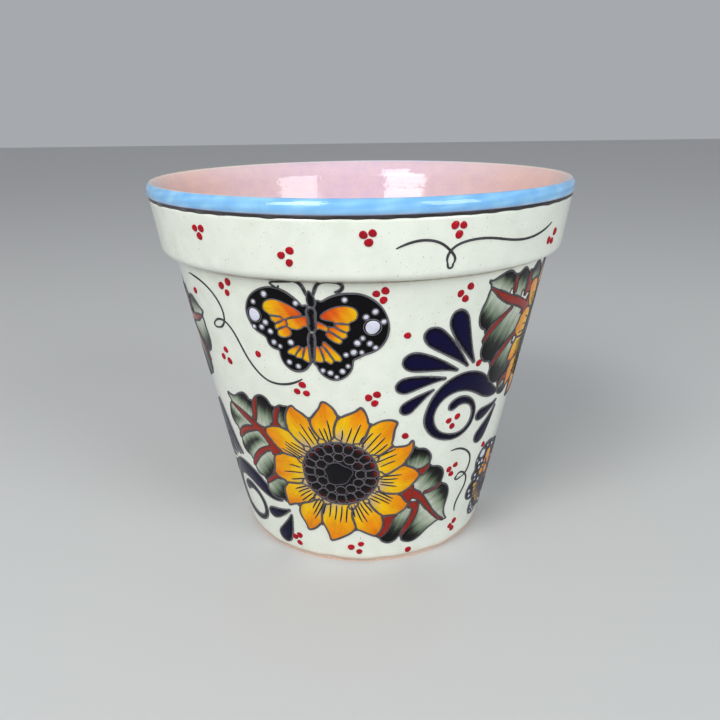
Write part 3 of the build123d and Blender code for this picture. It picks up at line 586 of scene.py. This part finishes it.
# the collar: underside, rounded corner and leaning face
corner_r = collar.radius(collar_low.z)
round_r = 6 * mm
lean = math.atan(collar_slope)
corner = np.linspace(-math.pi / 2, -lean, 10)[1:]
centre_r = corner_r - round_r * (1 - math.sin(lean)) / math.cos(lean)
centre_z = collar_low.z + round_r
run = line((wall.radius(collar_low.z) - 1 * mm, collar_low.z), (centre_r, collar_low.z), 6)
for t in corner:
    run.append((centre_r + round_r * math.cos(t), centre_z + round_r * math.sin(t)))
run += line(run[-1], (collar_high.x, collar_high.z), 18)[1:]
ways = [(0.0, -1.0)] * 6 + [(math.cos(t), math.sin(t)) for t in corner]
ways += [(math.cos(lean), -math.sin(lean))] * 17
profile, uneven = shell(run, thickness, ways)
points, faces = lathe(profile, segments, uneven)
# painted shade: the collar's coat darkens to grey-beige in its lowest 2 mm, on the underside
near = np.clip(1 - (points[:, 2] - collar_low.z) / (2.0 * mm), 0, 1)
pile = Pile()
pile.add(points, faces, blend([(0, white), (1, rgb("b0a898") / cream)], near))
pile.build("collar_coat", white_coat, "white_glaze", "collar_glaze")

# glaze pooled in the angle between wall and collar, coloured dark beige-grey as painted shade
pile = Pile()
seat_z = collar_low.z
seat_r = wall.radius(seat_z)
cove = bow((seat_r - 0.1 * mm, seat_z - 1.5 * mm), (seat_r + 0.7 * mm, seat_z - 0.5 * mm),
           (seat_r + 2.2 * mm, seat_z + 0.1 * mm), 7)
profile = cove + [(seat_r + 1 * mm, seat_z + 0.4 * mm), (seat_r - 0.4 * mm, seat_z - 1.0 * mm)]
points, faces = lathe(profile, segments, [1] * len(profile))
theta = np.arctan2(points[:, 1], points[:, 0])
# painted shade, darker and lighter in turns round the ring
shade_waver = 0.5 + 0.5 * np.sin(41 * theta + 3 * np.sin(5 * theta)) * np.sin(67 * theta)
pile.add(points, faces, blend([(0, rgb("8e8474") / cream), (1, rgb("b8ae9c") / cream)], shade_waver))
pile.build("crease_shade", white_coat, "white_glaze")

# the charcoal line under the lip, and the lip
line_low, line_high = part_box("lip_line")
run = line((collar_high.x + 0.05 * mm, line_low.z), (line_high.x + 0.05 * mm, line_high.z), 4)
profile, uneven = shell(run, 0.6 * mm, [(1.0, 0.0)] * 4)
points, faces = lathe(profile, segments * 2, uneven)
theta = np.arctan2(points[:, 1], points[:, 0])
ragged = 0.5 * np.sin(23 * theta + 2 * np.sin(7 * theta)) + 0.5 * np.sin(57 * theta + 1)
points[:, 2] += np.where(points[:, 2] < line_low.z + 0.5 * mm, 0.35 * mm * ragged, 0)
# the line's tone changes round the pot: paler at the left and back, darkest at the front right, with ragged
# patches
side_tone = 0.5 + 0.35 * np.sin(theta + 2.4) + 0.25 * ragged
pile = Pile()
pile.add(points, faces, blend([(0, rgb("8c8890")), (0.45, rgb("4a4448")), (1, rgb("2e2a2c"))], side_tone),
         np.stack([theta * 0.14, points[:, 2], theta * 0], 1))
pile.build("lip_line_stroke", line_coat, "line_glaze", "lip_line")

crest_r = lip_high.x - 2.5 * mm
crest_z = lip_high.z
bulge = (lip_high.x, line_high.z + 3.4 * mm)
roll = bow((line_high.x, line_high.z), bulge, (crest_r, crest_z), 14)
shoulder = (crest_r - 4.7 * mm, crest_z - 2.8 * mm)
slope = bow((crest_r, crest_z), shoulder, (crest_r - 7.3 * mm, crest_z - 5.6 * mm), 10)


def normals(run):
    """Directions square to an open run of (radius, height)."""
    run = np.array(run)
    along = np.gradient(run, axis=0)
    along /= np.hypot(*along.T)[:, None]
    return [(float(z), float(-r)) for r, z in along]


profile, uneven = shell(roll, thickness, normals(roll))
points, faces = lathe(profile, segments, uneven)
theta = np.arctan2(points[:, 1], points[:, 0])
up = (points[:, 2] - line_high.z) / (crest_z - line_high.z)
halo = np.clip(1 - up / 0.16, 0, 1)
# painted highlights: streaks of paler and deeper blue running round the lip
streaks = 0.5 + 0.5 * np.sin(13 * theta + 5 * up) * np.sin(29 * theta - 9 * up + 2 * np.sin(5 * theta))
tint = blend([(0, rgb("8ac4f2") / sky), (0.6, white), (1, rgb("a4daff") / sky)], streaks)
tint = tint * blend([(0, white), (1, rgb("b8b4cc") / sky)], halo)
pile = Pile()
pile.add(points, faces, tint)
pile.build("lip_coat", blue_coat, "blue_glaze", "lip_glaze")

# the inside: slope of the lip, flared neck, wall and floor down to the drain
inner = np.array([v.co for v in nodes["interior_glaze"].data.vertices])
inner_r = np.hypot(inner[:, 0], inner[:, 1])
bend_z = wall_high.z - 0.4 * mm
bend_r = inner_r[np.abs(inner[:, 2] - bend_z) < 0.2 * mm].min()
floor_z = floor_low.z + 0.6 * mm
floor_r = inner_r[np.abs(inner[:, 2] - floor_z) < 0.1 * mm].max()
drain_r = inner_r.min()
neck = (float(inner_r[np.abs(inner[:, 2] - collar_high.z) < 0.2 * mm].min()), collar_high.z)
run = slope + line(slope[-1], neck, 4)[1:] + line(neck, (bend_r, bend_z), 16)[1:]
wall_foot = (floor_r + 3 * mm * (bend_r - floor_r) / (bend_z - floor_z), floor_z + 3 * mm)
run += line((bend_r, bend_z), wall_foot, 90)[1:]
run += bow(wall_foot, (floor_r - 0.4 * mm, floor_z + 0.8 * mm), (floor_r - 3 * mm, floor_z), 6)[1:]
run += line(run[-1], (drain_r, floor_z), 36)[1:]
profile, uneven = shell(run, thickness, normals(run))
points, faces = lathe(profile, segments, [0.5 * u for u in uneven])
theta = np.arctan2(points[:, 1], points[:, 0])
# painted light: the inside is lilac-pink at front and back and warmer, orange-pink, at the left and right
side = np.abs(np.cos(theta)) ** 2
tint = blend([(0, rgb("e6cad6") / rose), (0.55, white), (1, rgb("f0c8bc") / rose)], side)
# painted highlight: a pale cream band on the inside within 3 mm of the crest
from_crest = np.hypot(np.hypot(points[:, 0], points[:, 1]) - crest_r, points[:, 2] - crest_z)
rim = np.clip(1 - from_crest / (3 * mm), 0, 1)
tint = tint * blend([(0, white), (1, rgb("f4ecdc") / rose)], rim)
pile = Pile()
pile.add(points, faces, tint)
pile.build("inner_coat", pink_coat, "pink_glaze", "interior_glaze")


# ---------------------------------------------------------------- relief
slip = rgb("56535a")
slip_cool = rgb("626068")
pad_edge, pad_dome, pad_soft = 0.16 * mm, 0.24 * mm, 1.6 * mm


def flow_of(xy, axis_from, axis_to, seed):
    """Brush coordinates: along and across a direction, with a third axis that differs by stroke."""
    way = axis_to - axis_from
    way = way / max(np.hypot(*way), 1e-9)
    rel = xy - axis_from
    return np.stack([rel @ way, rel @ np.array([-way[1], way[0]]), np.full(len(xy), seed * 0.37)], 1)


def lined(pile, run, cone, hub, half, high, colour, jitter=0.12):
    """A raised slip line laid by hand round a closed run."""
    count = len(run)
    t = np.linspace(0, 2 * math.pi, count, endpoint=False)
    a, b = rng.uniform(0, 6.28, 2)
    waver = 1 + jitter * (np.sin(3 * t + a) + 0.6 * np.sin(7 * t + b))
    points, faces = bead(run, half * waver, high * (0.85 + 0.15 * waver))
    pile.add(cone.roll(points, hub), faces, colour)


def runs_of(name, cone, hub, grow=0.0):
    """The outlines of a CAD node's pads, unrolled round a hub, anticlockwise and evenly spaced."""
    runs = []
    for loop in outlines(name, cone):
        run = anticlockwise(evenly(cone.unroll(loop, hub), 0.8 * mm))
        runs.append(run + outward(run) * grow)
    return runs


def pads(cone, hub, runs, tone, spacing, edge, dome, soft, line_colour, half, high):
    """Pools of glaze over runs and their raised outlines; tone gives colours and flow by point."""
    fills, lines = Pile(), Pile()
    for seed, run in enumerate(runs):
        made = pool(run, spacing, edge, dome, soft)
        if made is None:
            continue
        points, faces, away = made
        colours, flows = tone(points[:, :2], away, run, seed)
        fills.add(cone.roll(points, hub), faces, colours, flows)
        lined(lines, run, cone, hub, half, high, line_colour)
    return fills, lines


def centre_of(name, cone):
    """The hub of a CAD node's first pad, and that pad's outline."""
    loop = outlines(name, cone)[0]
    return cone.hub(loop), loop


def petals(prefix):
    """Yellow petals brushed out from the seed head, dark strokes at their base, raised outlines."""
    hub, disc = centre_of(prefix + "_seed_head", wall)
    disc_r = float(np.hypot(*wall.unroll(disc, hub).T).mean())
    centre = wall.unroll(disc, hub).mean(0)
    strokes = Pile()

    def tone(xy, away, run, seed):
        far = run[np.argmax(np.hypot(*(run - centre).T))] - centre
        reach = np.hypot(*far)
        way = far / reach
        side_way = np.array([-way[1], way[0]])
        rel = xy - centre
        out = (np.hypot(*rel.T) - disc_r) / (reach - disc_r)
        across = rel @ side_way
        lean = np.clip(across / (8 * mm), -1, 1) * (1 if seed % 3 else -1)
        heart = np.exp(-(across / (4.5 * mm)) ** 2) * np.clip((out - 0.25) * 3, 0, 1)
        mixed = 0.75 * out + 0.14 * lean + 0.22 * heart + 0.05 * np.sin(700 * across + seed)
        colours = blend([(0.0, rgb("d8b884")), (0.08, rgb("eec244")), (0.22, rgb("fcc808")),
                         (0.48, rgb("fbae06")), (0.75, rgb("f59406")), (1.0, rgb("e87c06"))], mixed)
        rim = np.clip(1 - away / (1.0 * mm), 0, 1)[:, None] * 0.25
        colours = colours * (1 - rim) + rim * rgb("e9c27a")
        foot = (run - centre)[np.abs((run - centre) @ way - disc_r - 4 * mm) < 3 * mm] @ side_way
        half_width = 0.5 * np.ptp(foot)
        count = 4 + seed % 3
        for k in range(count):
            share = ((k + 0.5) / count * 2 - 1) * 0.9
            length = rng.uniform(0.36, 0.56) * (1.12 - 0.5 * abs(share)) * (reach - disc_r)
            t = np.linspace(0, 1, 16)
            along = disc_r + (0.8 + 0.8 * abs(share)) * mm + length * t
            side = share * half_width * (0.86 + 0.2 * t) + 0.35 * mm * np.sin(3 * t + k + seed)
            path = centre + along[:, None] * way + side[:, None] * side_way
            keep = inside(path, run) & (edge_distance(path, run) > 0.9 * mm)
            good = np.flatnonzero(keep)
            if len(good) < 6:
                continue
            path = path[good[0]:good[-1] + 1]
            t = np.linspace(0, 1, len(path))
            half = 0.6 * mm * np.clip(6 * t, 0.45, 1) * np.clip(6 * (1 - t), 0.6, 1)
            points, faces = bead(path, half, 0.66 * mm, closed=False)
            strokes.add(wall.roll(points, hub), faces, rgb("2e2418"))
            beside = path + (half + 0.16 * mm)[:, None] * side_way
            points, faces = bead(beside, 0.25 * mm, 0.46 * mm, closed=False)
            strokes.add(wall.roll(points, hub), faces, rgb("c9b7a8"))
        return colours, flow_of(xy, centre, centre + far, seed)

    disc_edge = evenly(wall.unroll(disc, hub), 0.5 * mm)
    runs = spread(runs_of(prefix + "_petals", wall, hub, 0.5 * mm), 1.8 * mm, [(disc_edge, 6 * mm)])
    fills, lines = pads(wall, hub, runs, tone, 1.3 * mm, pad_edge, pad_dome, pad_soft,
                        slip, 0.8 * mm, 0.7 * mm)
    fills.build(prefix + "_petal_pools", petal_coat, "petal_glaze", prefix + "_petals")
    lines.build(prefix + "_petal_outlines", outline_coat, "flourish_glaze")
    strokes.build(prefix + "_petal_strokes", dark_coat, "seed_head_glaze")


def seed_head(prefix):
    """A dark disc of seeds: each seed a drop inside a raised ring, round an uneven heart."""
    hub, disc = centre_of(prefix + "_seed_head", wall)

    def ground(xy, away, run, seed):
        return np.broadcast_to(rgb("1c191d"), (len(xy), 3)), None

    fills, lines = pads(wall, hub, runs_of(prefix + "_seed_head", wall, hub), ground, 1.6 * mm, 0.2 * mm,
                        0.2 * mm, 2 * mm, rgb("5e5a60"), 0.6 * mm, 0.66 * mm)
    rings, drops = Pile(), Pile()
    centre = wall.unroll(disc, hub).mean(0)
    for middle, size in buttons(prefix + "_seeds", wall, hub):
        turn = math.atan2(middle[1] - centre[1], middle[0] - centre[0])
        away = math.hypot(*(middle - centre))
        warm = 0.5 + 0.5 * math.sin(turn + 0.4) * math.cos(turn * 2 - 0.5)
        outer = away > 16.5 * mm
        size = size * rng.uniform(1.12, 1.24)
        stretch = rng.uniform(1.06, 1.2) if outer else rng.uniform(0.96, 1.06)
        points, faces = drop(middle, size * 0.97, 0.8 * mm, 5, 18, stretch, turn)
        rise = (np.hypot(*(points[:, :2] - centre).T) - away) / size
        red = rise * (0.75 if outer else 0.3) + 0.4 * warm + rng.uniform(-0.15, 0.1)
        colours = blend([(0.15, rgb("0a0608")), (0.5, rgb("1c080c")), (0.8, rgb("5a1418")),
                         (1.1, rgb("8a2620"))], red)
        drops.add(wall.roll(points, hub), faces, colours)
        t = np.linspace(0, 2 * math.pi, 22, endpoint=False)
        oval = np.stack([stretch * np.cos(t), np.sin(t)], 1) * (size + 0.2 * mm)
        c, s = math.cos(turn), math.sin(turn)
        oval = np.stack([c * oval[:, 0] - s * oval[:, 1], s * oval[:, 0] + c * oval[:, 1]], 1) + middle
        points, faces = bead(oval, 0.4 * mm, 0.8 * mm)
        rings.add(wall.roll(points, hub), faces, rgb("67626a"))
    heart = anticlockwise(evenly(wall.unroll(outlines(prefix + "_heart", wall)[0], hub), 0.8 * mm))
    t = np.arctan2(*(heart - heart.mean(0)).T[::-1])
    swell = 1 + 0.08 * np.sin(3 * t + 1) + 0.06 * np.sin(5 * t)
    heart = heart.mean(0) + (heart - heart.mean(0)) * swell[:, None]
    points, faces, _ = pool(heart, 1.1 * mm, 0.5 * mm, 0.55 * mm, 2 * mm)
    drops.add(wall.roll(points, hub), faces, rgb("07070e"))
    points, faces = bead(heart, 0.4 * mm, 0.85 * mm)
    rings.add(wall.roll(points, hub), faces, rgb("57525c"))
    fills.build(prefix + "_disc", dark_coat, "seed_head_glaze", prefix + "_seed_head")
    lines.build(prefix + "_disc_outline", outline_coat, "flourish_glaze")
    drops.build(prefix + "_seed_drops", vivid_coat, "seed_glaze", prefix + "_seeds", prefix + "_heart")
    rings.build(prefix + "_seed_rings", outline_coat, "flourish_glaze")


def buttons(node, cone, hub=None):
    """Middle and radius of each small separate pad of a CAD node, in the unrolled plane."""
    place, same = welded(node)
    parent = list(range(len(place)))

    def root(k):
        while parent[k] != k:
            parent[k] = parent[parent[k]]
            k = parent[k]
        return k

    for polygon in nodes[node].data.polygons:
        ring = [root(int(same[k])) for k in polygon.vertices]
        for other in ring[1:]:
            parent[root(other)] = root(ring[0])
    groups = {}
    for k in range(len(place)):
        groups.setdefault(root(k), []).append(k)
    found = []
    for members in groups.values():
        points = place[members]
        own = hub or cone.hub(points)
        flat = cone.unroll(points, own)
        middle = (flat.max(0) + flat.min(0)) / 2
        size = float(np.hypot(*(flat - middle).T).max())
        low = float(np.hypot(*(flat[cone.lift(points) < cone.lift(points).mean()] - middle).T).min())
        found.append((middle, min(size, low * 1.02)) if hub else (own, middle, size))
    return found


def leaves(prefix):
    """Leaf blades brushed from pale by the midrib to black at the lobe ends, and brick-red veins."""
    hub = wall.hub(np.concatenate(outlines(prefix + "_blades", wall)))
    flower = prefix.replace("_leaf_", "_sunflower_")
    petal_points = np.concatenate(runs_of(flower + "_petals", wall, hub, 0.5 * mm))
    vein_runs = spread(runs_of(prefix + "_veins", wall, hub, 0.35 * mm), 0, [(petal_points, 4 * mm)])
    longest = sorted(vein_runs, key=lambda run: -float(np.hypot(*np.ptp(run, axis=0))))[:2]
    midribs = np.concatenate(longest)

    def tone(xy, away, run, seed):
        near = np.sqrt(((xy[:, None] - midribs[None]) ** 2).sum(2).min(1))
        edge = np.sqrt(((run[:, None] - midribs[None]) ** 2).sum(2).min(1))
        span = edge.max() - edge.min()
        t = (near - edge.min()) / max(span, 4 * mm)
        middle = run.mean(0)
        closest = midribs[np.argmin(((midribs - middle) ** 2).sum(1))]
        flow = flow_of(xy, closest, middle, seed)
        streaks = 0.5 * np.sin(2100 * flow[:, 1] + seed) + 0.5 * np.sin(900 * flow[:, 1] + 160 * flow[:, 0])
        t = t + 0.07 * streaks + 0.10 * np.exp(-away / (1.5 * mm))
        colours = blend([(0.05, rgb("d6dccc")), (0.3, rgb("a5b29c")), (0.5, rgb("6c7c66")),
                         (0.64, rgb("2c3028")), (0.78, rgb("0e0d0f")), (1.0, rgb("070608"))], t)
        return colours, flow

    runs = spread(runs_of(prefix + "_blades", wall, hub, 0.6 * mm), 1.4 * mm,
                  [(np.concatenate(vein_runs), 3.4 * mm), (petal_points, 4.5 * mm)], facing=0.84)
    fills, lines = pads(wall, hub, runs, tone, 1.2 * mm, pad_edge, pad_dome, pad_soft,
                        slip, 0.72 * mm, 0.64 * mm)
    fills.build(prefix + "_blade_pools", leaf_coat, "leaf_glaze", prefix + "_blades")
    lines.build(prefix + "_blade_outlines", outline_coat, "flourish_glaze")

    def brick(xy, away, run, seed):
        inner = np.clip(away / (1.0 * mm), 0, 1)
        return blend([(0, rgb("5e1a12")), (0.4, rgb("861f14")), (1, rgb("982618"))], inner), None

    fills, lines = pads(wall, hub, vein_runs, brick, 0.8 * mm, 0.3 * mm, 0.45 * mm, 1.0 * mm, rgb("4a4648"),
                        0.5 * mm, 0.74 * mm)
    fills.build(prefix + "_vein_pools", vivid_coat, "vein_glaze", prefix + "_veins")
    lines.build(prefix + "_vein_outlines", outline_coat, "flourish_glaze")


def dark_strokes(node, name, slot, colour, edge_colour, heart, half=0.34 * mm, dome=0.65 * mm):
    """Brush strokes of dark glaze, thick in the middle, with a paler edge line."""
    hub = wall.hub(np.concatenate(outlines(node, wall)))

    def tone(xy, away, run, seed):
        return blend([(0, edge_colour), (0.22, colour), (0.5, colour), (1, heart)], away / (2.6 * mm)), None

    fills, lines = pads(wall, hub, runs_of(node, wall, hub, 0.1 * mm), tone, 1.0 * mm, pad_edge, dome,
                        pad_soft, edge_colour, half, 0.62 * mm)
    fills.build(name + "_pools", dark_coat, slot, node)
    lines.build(name + "_edges", outline_coat, "flourish_glaze")


def butterfly(prefix):
    """Black wings with flame-coloured cells, pale spots and a ringed body."""
    hub, _ = centre_of(prefix + "_wings", wall)
    body = wall.unroll(np.concatenate(outlines(prefix + "_body", wall)), hub).mean(0)

    def black(xy, away, run, seed):
        return np.broadcast_to(rgb("0a090c"), (len(xy), 3)), None

    body_runs = runs_of(prefix + "_body", wall, hub)
    thin = 0.78 * mm
    broad = [run for run in body_runs if area(run) > thin * np.hypot(*(np.roll(run, -1, 0) - run).T).sum()]
    trunk = np.concatenate(broad or body_runs)
    runs = spread(runs_of(prefix + "_wings", wall, hub, 0.2 * mm), 0, [(trunk, 3 * mm)], 0.8 * mm)
    fills, lines = pads(wall, hub, runs, black, 1.3 * mm, 0.2 * mm, 0.2 * mm, 1.5 * mm, slip_cool, 0.66 * mm,
                        0.62 * mm)
    fills.build(prefix + "_wing_pools", dark_coat, "wing_glaze", prefix + "_wings")

    def flame(xy, away, run, seed):
        far = np.hypot(*(xy - body).T)
        out = 0.35 * far / (26 * mm) + 0.65 * (far - far.min()) / np.ptp(far)
        out = out + 0.06 * np.sin(900 * xy[:, 0] + 700 * xy[:, 1])
        colours = blend([(0.15, rgb("dc4a10")), (0.4, rgb("ea6a12")), (0.62, rgb("f4980c")),
                         (0.92, rgb("f6bc04"))], out)
        return colours, flow_of(xy, body, run.mean(0), seed)

    runs = runs_of(prefix + "_cells", wall, hub, 0.3 * mm)
    runs = spread(runs, 2.2 * mm, [(trunk, 2.5 * mm)], 0.8 * mm, 0.84)
    cells, rims = pads(wall, hub, runs, flame, 0.9 * mm, 0.34 * mm, 0.22 * mm, 1.0 * mm, slip_cool, 0.42 * mm,
                       0.74 * mm)
    cells.build(prefix + "_cell_pools", petal_coat, "cell_glaze", prefix + "_cells")
    dots, rings = Pile(), Pile()
    for middle, size in buttons(prefix + "_spots", wall, hub):
        size = 1.15 * size
        points, faces = drop(middle, size * 0.95, 0.42 * mm + 0.28 * min(size, 1.6 * mm), 5, 18)
        dots.add(wall.roll(points, hub), faces, rgb("e2e2f2") * rng.uniform(0.88, 1.0))
        if size > 0.95 * mm:
            t = np.linspace(0, 2 * math.pi, 26, endpoint=False)
            circle = middle + np.stack([np.cos(t), np.sin(t)], 1) * (size + 0.26 * mm)
            points, faces = bead(circle, 0.32 * mm, 0.66 * mm)
            rings.add(wall.roll(points, hub), faces, rgb("77757c"))
    dots.build(prefix + "_spot_drops", vivid_coat, "spot_glaze", prefix + "_spots")
    rings.build(prefix + "_spot_rings", outline_coat, "flourish_glaze")
    lines.build(prefix + "_wing_outlines", outline_coat, "flourish_glaze")
    rims.build(prefix + "_cell_outlines", outline_coat, "flourish_glaze")
    body_black = rgb("0c0b0e")
    dark_strokes(prefix + "_body", prefix + "_trunk", "wing_glaze", body_black, rgb("66646c"), body_black)


for name in sorted(nodes):
    if name.endswith("_petals"):
        petals(name[:-len("_petals")])
        seed_head(name[:-len("_petals")])
    elif name.endswith("_blades"):
        leaves(name[:-len("_blades")])
    elif "_scroll_" in name:
        dark_strokes(name, name, "scroll_glaze", rgb("07050f"), rgb("6c6972"), rgb("0d0836"), 0.55 * mm,
                     0.5 * mm)
    elif name.endswith("_wings"):
        butterfly(name[:-len("_wings")])


def hand_line(pile, cone, place, path):
    """A thin raised line through points (mm) of a motif: place is its angle, height, shift, turn and size."""
    theta, z, shift, turn, size = place
    path = np.array(path, float) * size
    for _ in range(3):
        near_side, far_side = 0.75 * path[:-1] + 0.25 * path[1:], 0.25 * path[:-1] + 0.75 * path[1:]
        cut = np.stack([near_side, far_side], 1).reshape(-1, 2)
        path = np.concatenate([path[:1], cut, path[-1:]])
    c, s = math.cos(math.radians(turn)), math.sin(math.radians(turn))
    path = path @ np.array([[c, s], [-s, c]]) + shift
    path = evenly(path * mm, 0.6 * mm, closed=False)
    points, faces = bead(path, 0.62 * mm, 0.6 * mm, closed=False)
    pile.add(cone.roll(points, (math.radians(theta), cone.radius(z * mm) / cone.sin)), faces, ink)


ink = rgb("3c3a40")
curl = [(-9, 22.4), (-15, 21.7), (-20, 21.3), (-22.8, 20.6), (-20.4, 18.9), (-17.4, 17.2), (-16.8, 19.4)]

# Angle, height, shift, turn, size and points of the short arcs that close the small loops, and of the
# curl that ends each left antenna.
closing = {
    "wall_flourishes": [(-152, 100, (0, 0), 0, 1, [(30.2, 65.7), (27.4, 65.5), (25.8, 67.2), (27.6, 69.0)]),
                        (-28, 100, (0, 0), 0, 1,
                         [(-35.4, -45.6), (-38.8, -46.8), (-41.2, -45.4), (-39.6, -43.2)]),
                        (-103.8, 180, (0, 0), 0, 1, curl), (-28, 100, (8, -56), -48, 0.85, curl)],
    "collar_flourishes": [(-90, 220, (0, 0), 0, 1,
                           [(50.3, -9.2), (49.9, -11.6), (47.4, -11.8), (46.9, -8.6)])],
}
for node, cone in (("wall_flourishes", wall), ("collar_flourishes", collar)):
    pile = Pile()
    for loop in outlines(node, cone):
        hub = cone.hub(loop)
        run = anticlockwise(evenly(cone.unroll(loop, hub), 0.6 * mm))
        points, faces, _ = pool(run, 0.5 * mm, 0.12 * mm, 0.6 * mm, 0.45 * mm)
        pile.add(cone.roll(points, hub), faces, ink)
    for theta, z, shift, turn, size, path in closing[node]:
        for back in (0, 180):
            hand_line(pile, cone, (theta + back, z, shift, turn, size), path)
    pile.build(node[:-1], outline_coat, "flourish_glaze", node)

for node, cone in (("wall_dots", wall), ("collar_dots", collar)):
    pile = Pile()
    for hub, middle, size in buttons(node, cone):
        points, faces = drop(middle, size * rng.uniform(1.0, 1.16), rng.uniform(0.75, 1.0) * mm, 6, 24)
        pile.add(cone.roll(points, hub), faces, rgb("b20a20") * rng.uniform(0.85, 1.05))
    pile.build(node[:-1] + "_drops", vivid_coat, "dot_glaze", node)


# ---------------------------------------------------------------- floor, light and camera
def plain(name, size, place, colour):
    """A flat square of one colour."""
    mesh = bpy.data.meshes.new(name)
    s = size / 2
    mesh.from_pydata([(-s, -s, 0), (s, -s, 0), (s, s, 0), (-s, s, 0)], [], [(0, 1, 2, 3)])
    made = bpy.data.objects.new(name, mesh)
    made.location = place
    bpy.context.scene.collection.objects.link(made)
    shader = Shader(name, 0.7)
    shader.set("Base Color", (*colour, 1.0))
    mesh.materials.append(shader.material)
    return made


floor = plain("floor", 12.0, (0, 0, 0), rgb("cfcfcf"))


def soft_light(name, place, target, wide, high, power, colour):
    """A rectangular lamp that faces its target."""
    lamp = bpy.data.lights.new(name, "AREA")
    lamp.shape, lamp.size, lamp.size_y = "RECTANGLE", wide, high
    lamp.energy, lamp.color = power, colour
    made = bpy.data.objects.new(name, lamp)
    made.location = place
    made.rotation_euler = (Vector(target) - Vector(place)).to_track_quat("-Z", "Y").to_euler()
    bpy.context.scene.collection.objects.link(made)


soft_light("key", (-1.0, -1.5, 1.5), (0, 0, 0.12), 1.0, 1.0, 22, (1.0, 1.0, 0.95))
soft_light("fill", (1.5, -1.4, 1.1), (0, 0, 0.12), 1.0, 1.2, 18, (0.95, 1.0, 0.99))
soft_light("window", (-0.5, -0.75, 1.3), (0, 0.1, 0.15), 0.35, 0.5, 3.5, (0.9, 0.96, 1.0))

world = bpy.data.worlds.new("studio")
world.use_nodes = True
world.node_tree.nodes["Background"].inputs["Color"].default_value = (0.92, 0.95, 1.0, 1.0)
world.node_tree.nodes["Background"].inputs["Strength"].default_value = 0.42
bpy.context.scene.world = world

lens = bpy.data.cameras.new("camera")
lens.sensor_width = 36.0
lens.lens = 37.2114
camera = bpy.data.objects.new("camera", lens)
bpy.context.scene.collection.objects.link(camera)
pitch, yaw, tilt = 0.3281, 0.0034, 0.0129
swing = Matrix.Rotation(yaw, 3, "Z")
right = swing @ Vector((1, 0, 0))
ahead = swing @ Vector((0, math.cos(pitch), -math.sin(pitch)))
down = swing @ Vector((0, -math.sin(pitch), -math.cos(pitch)))
across = math.cos(tilt) * right + math.sin(tilt) * down
below = -math.sin(tilt) * right + math.cos(tilt) * down
turned = Matrix((across, -below, -ahead)).transposed().to_4x4()
camera.matrix_world = Matrix.Translation((0.0, -0.5206, 0.2923)) @ turned
bpy.context.scene.camera = camera
bpy.context.scene.view_settings.view_transform = "Standard"
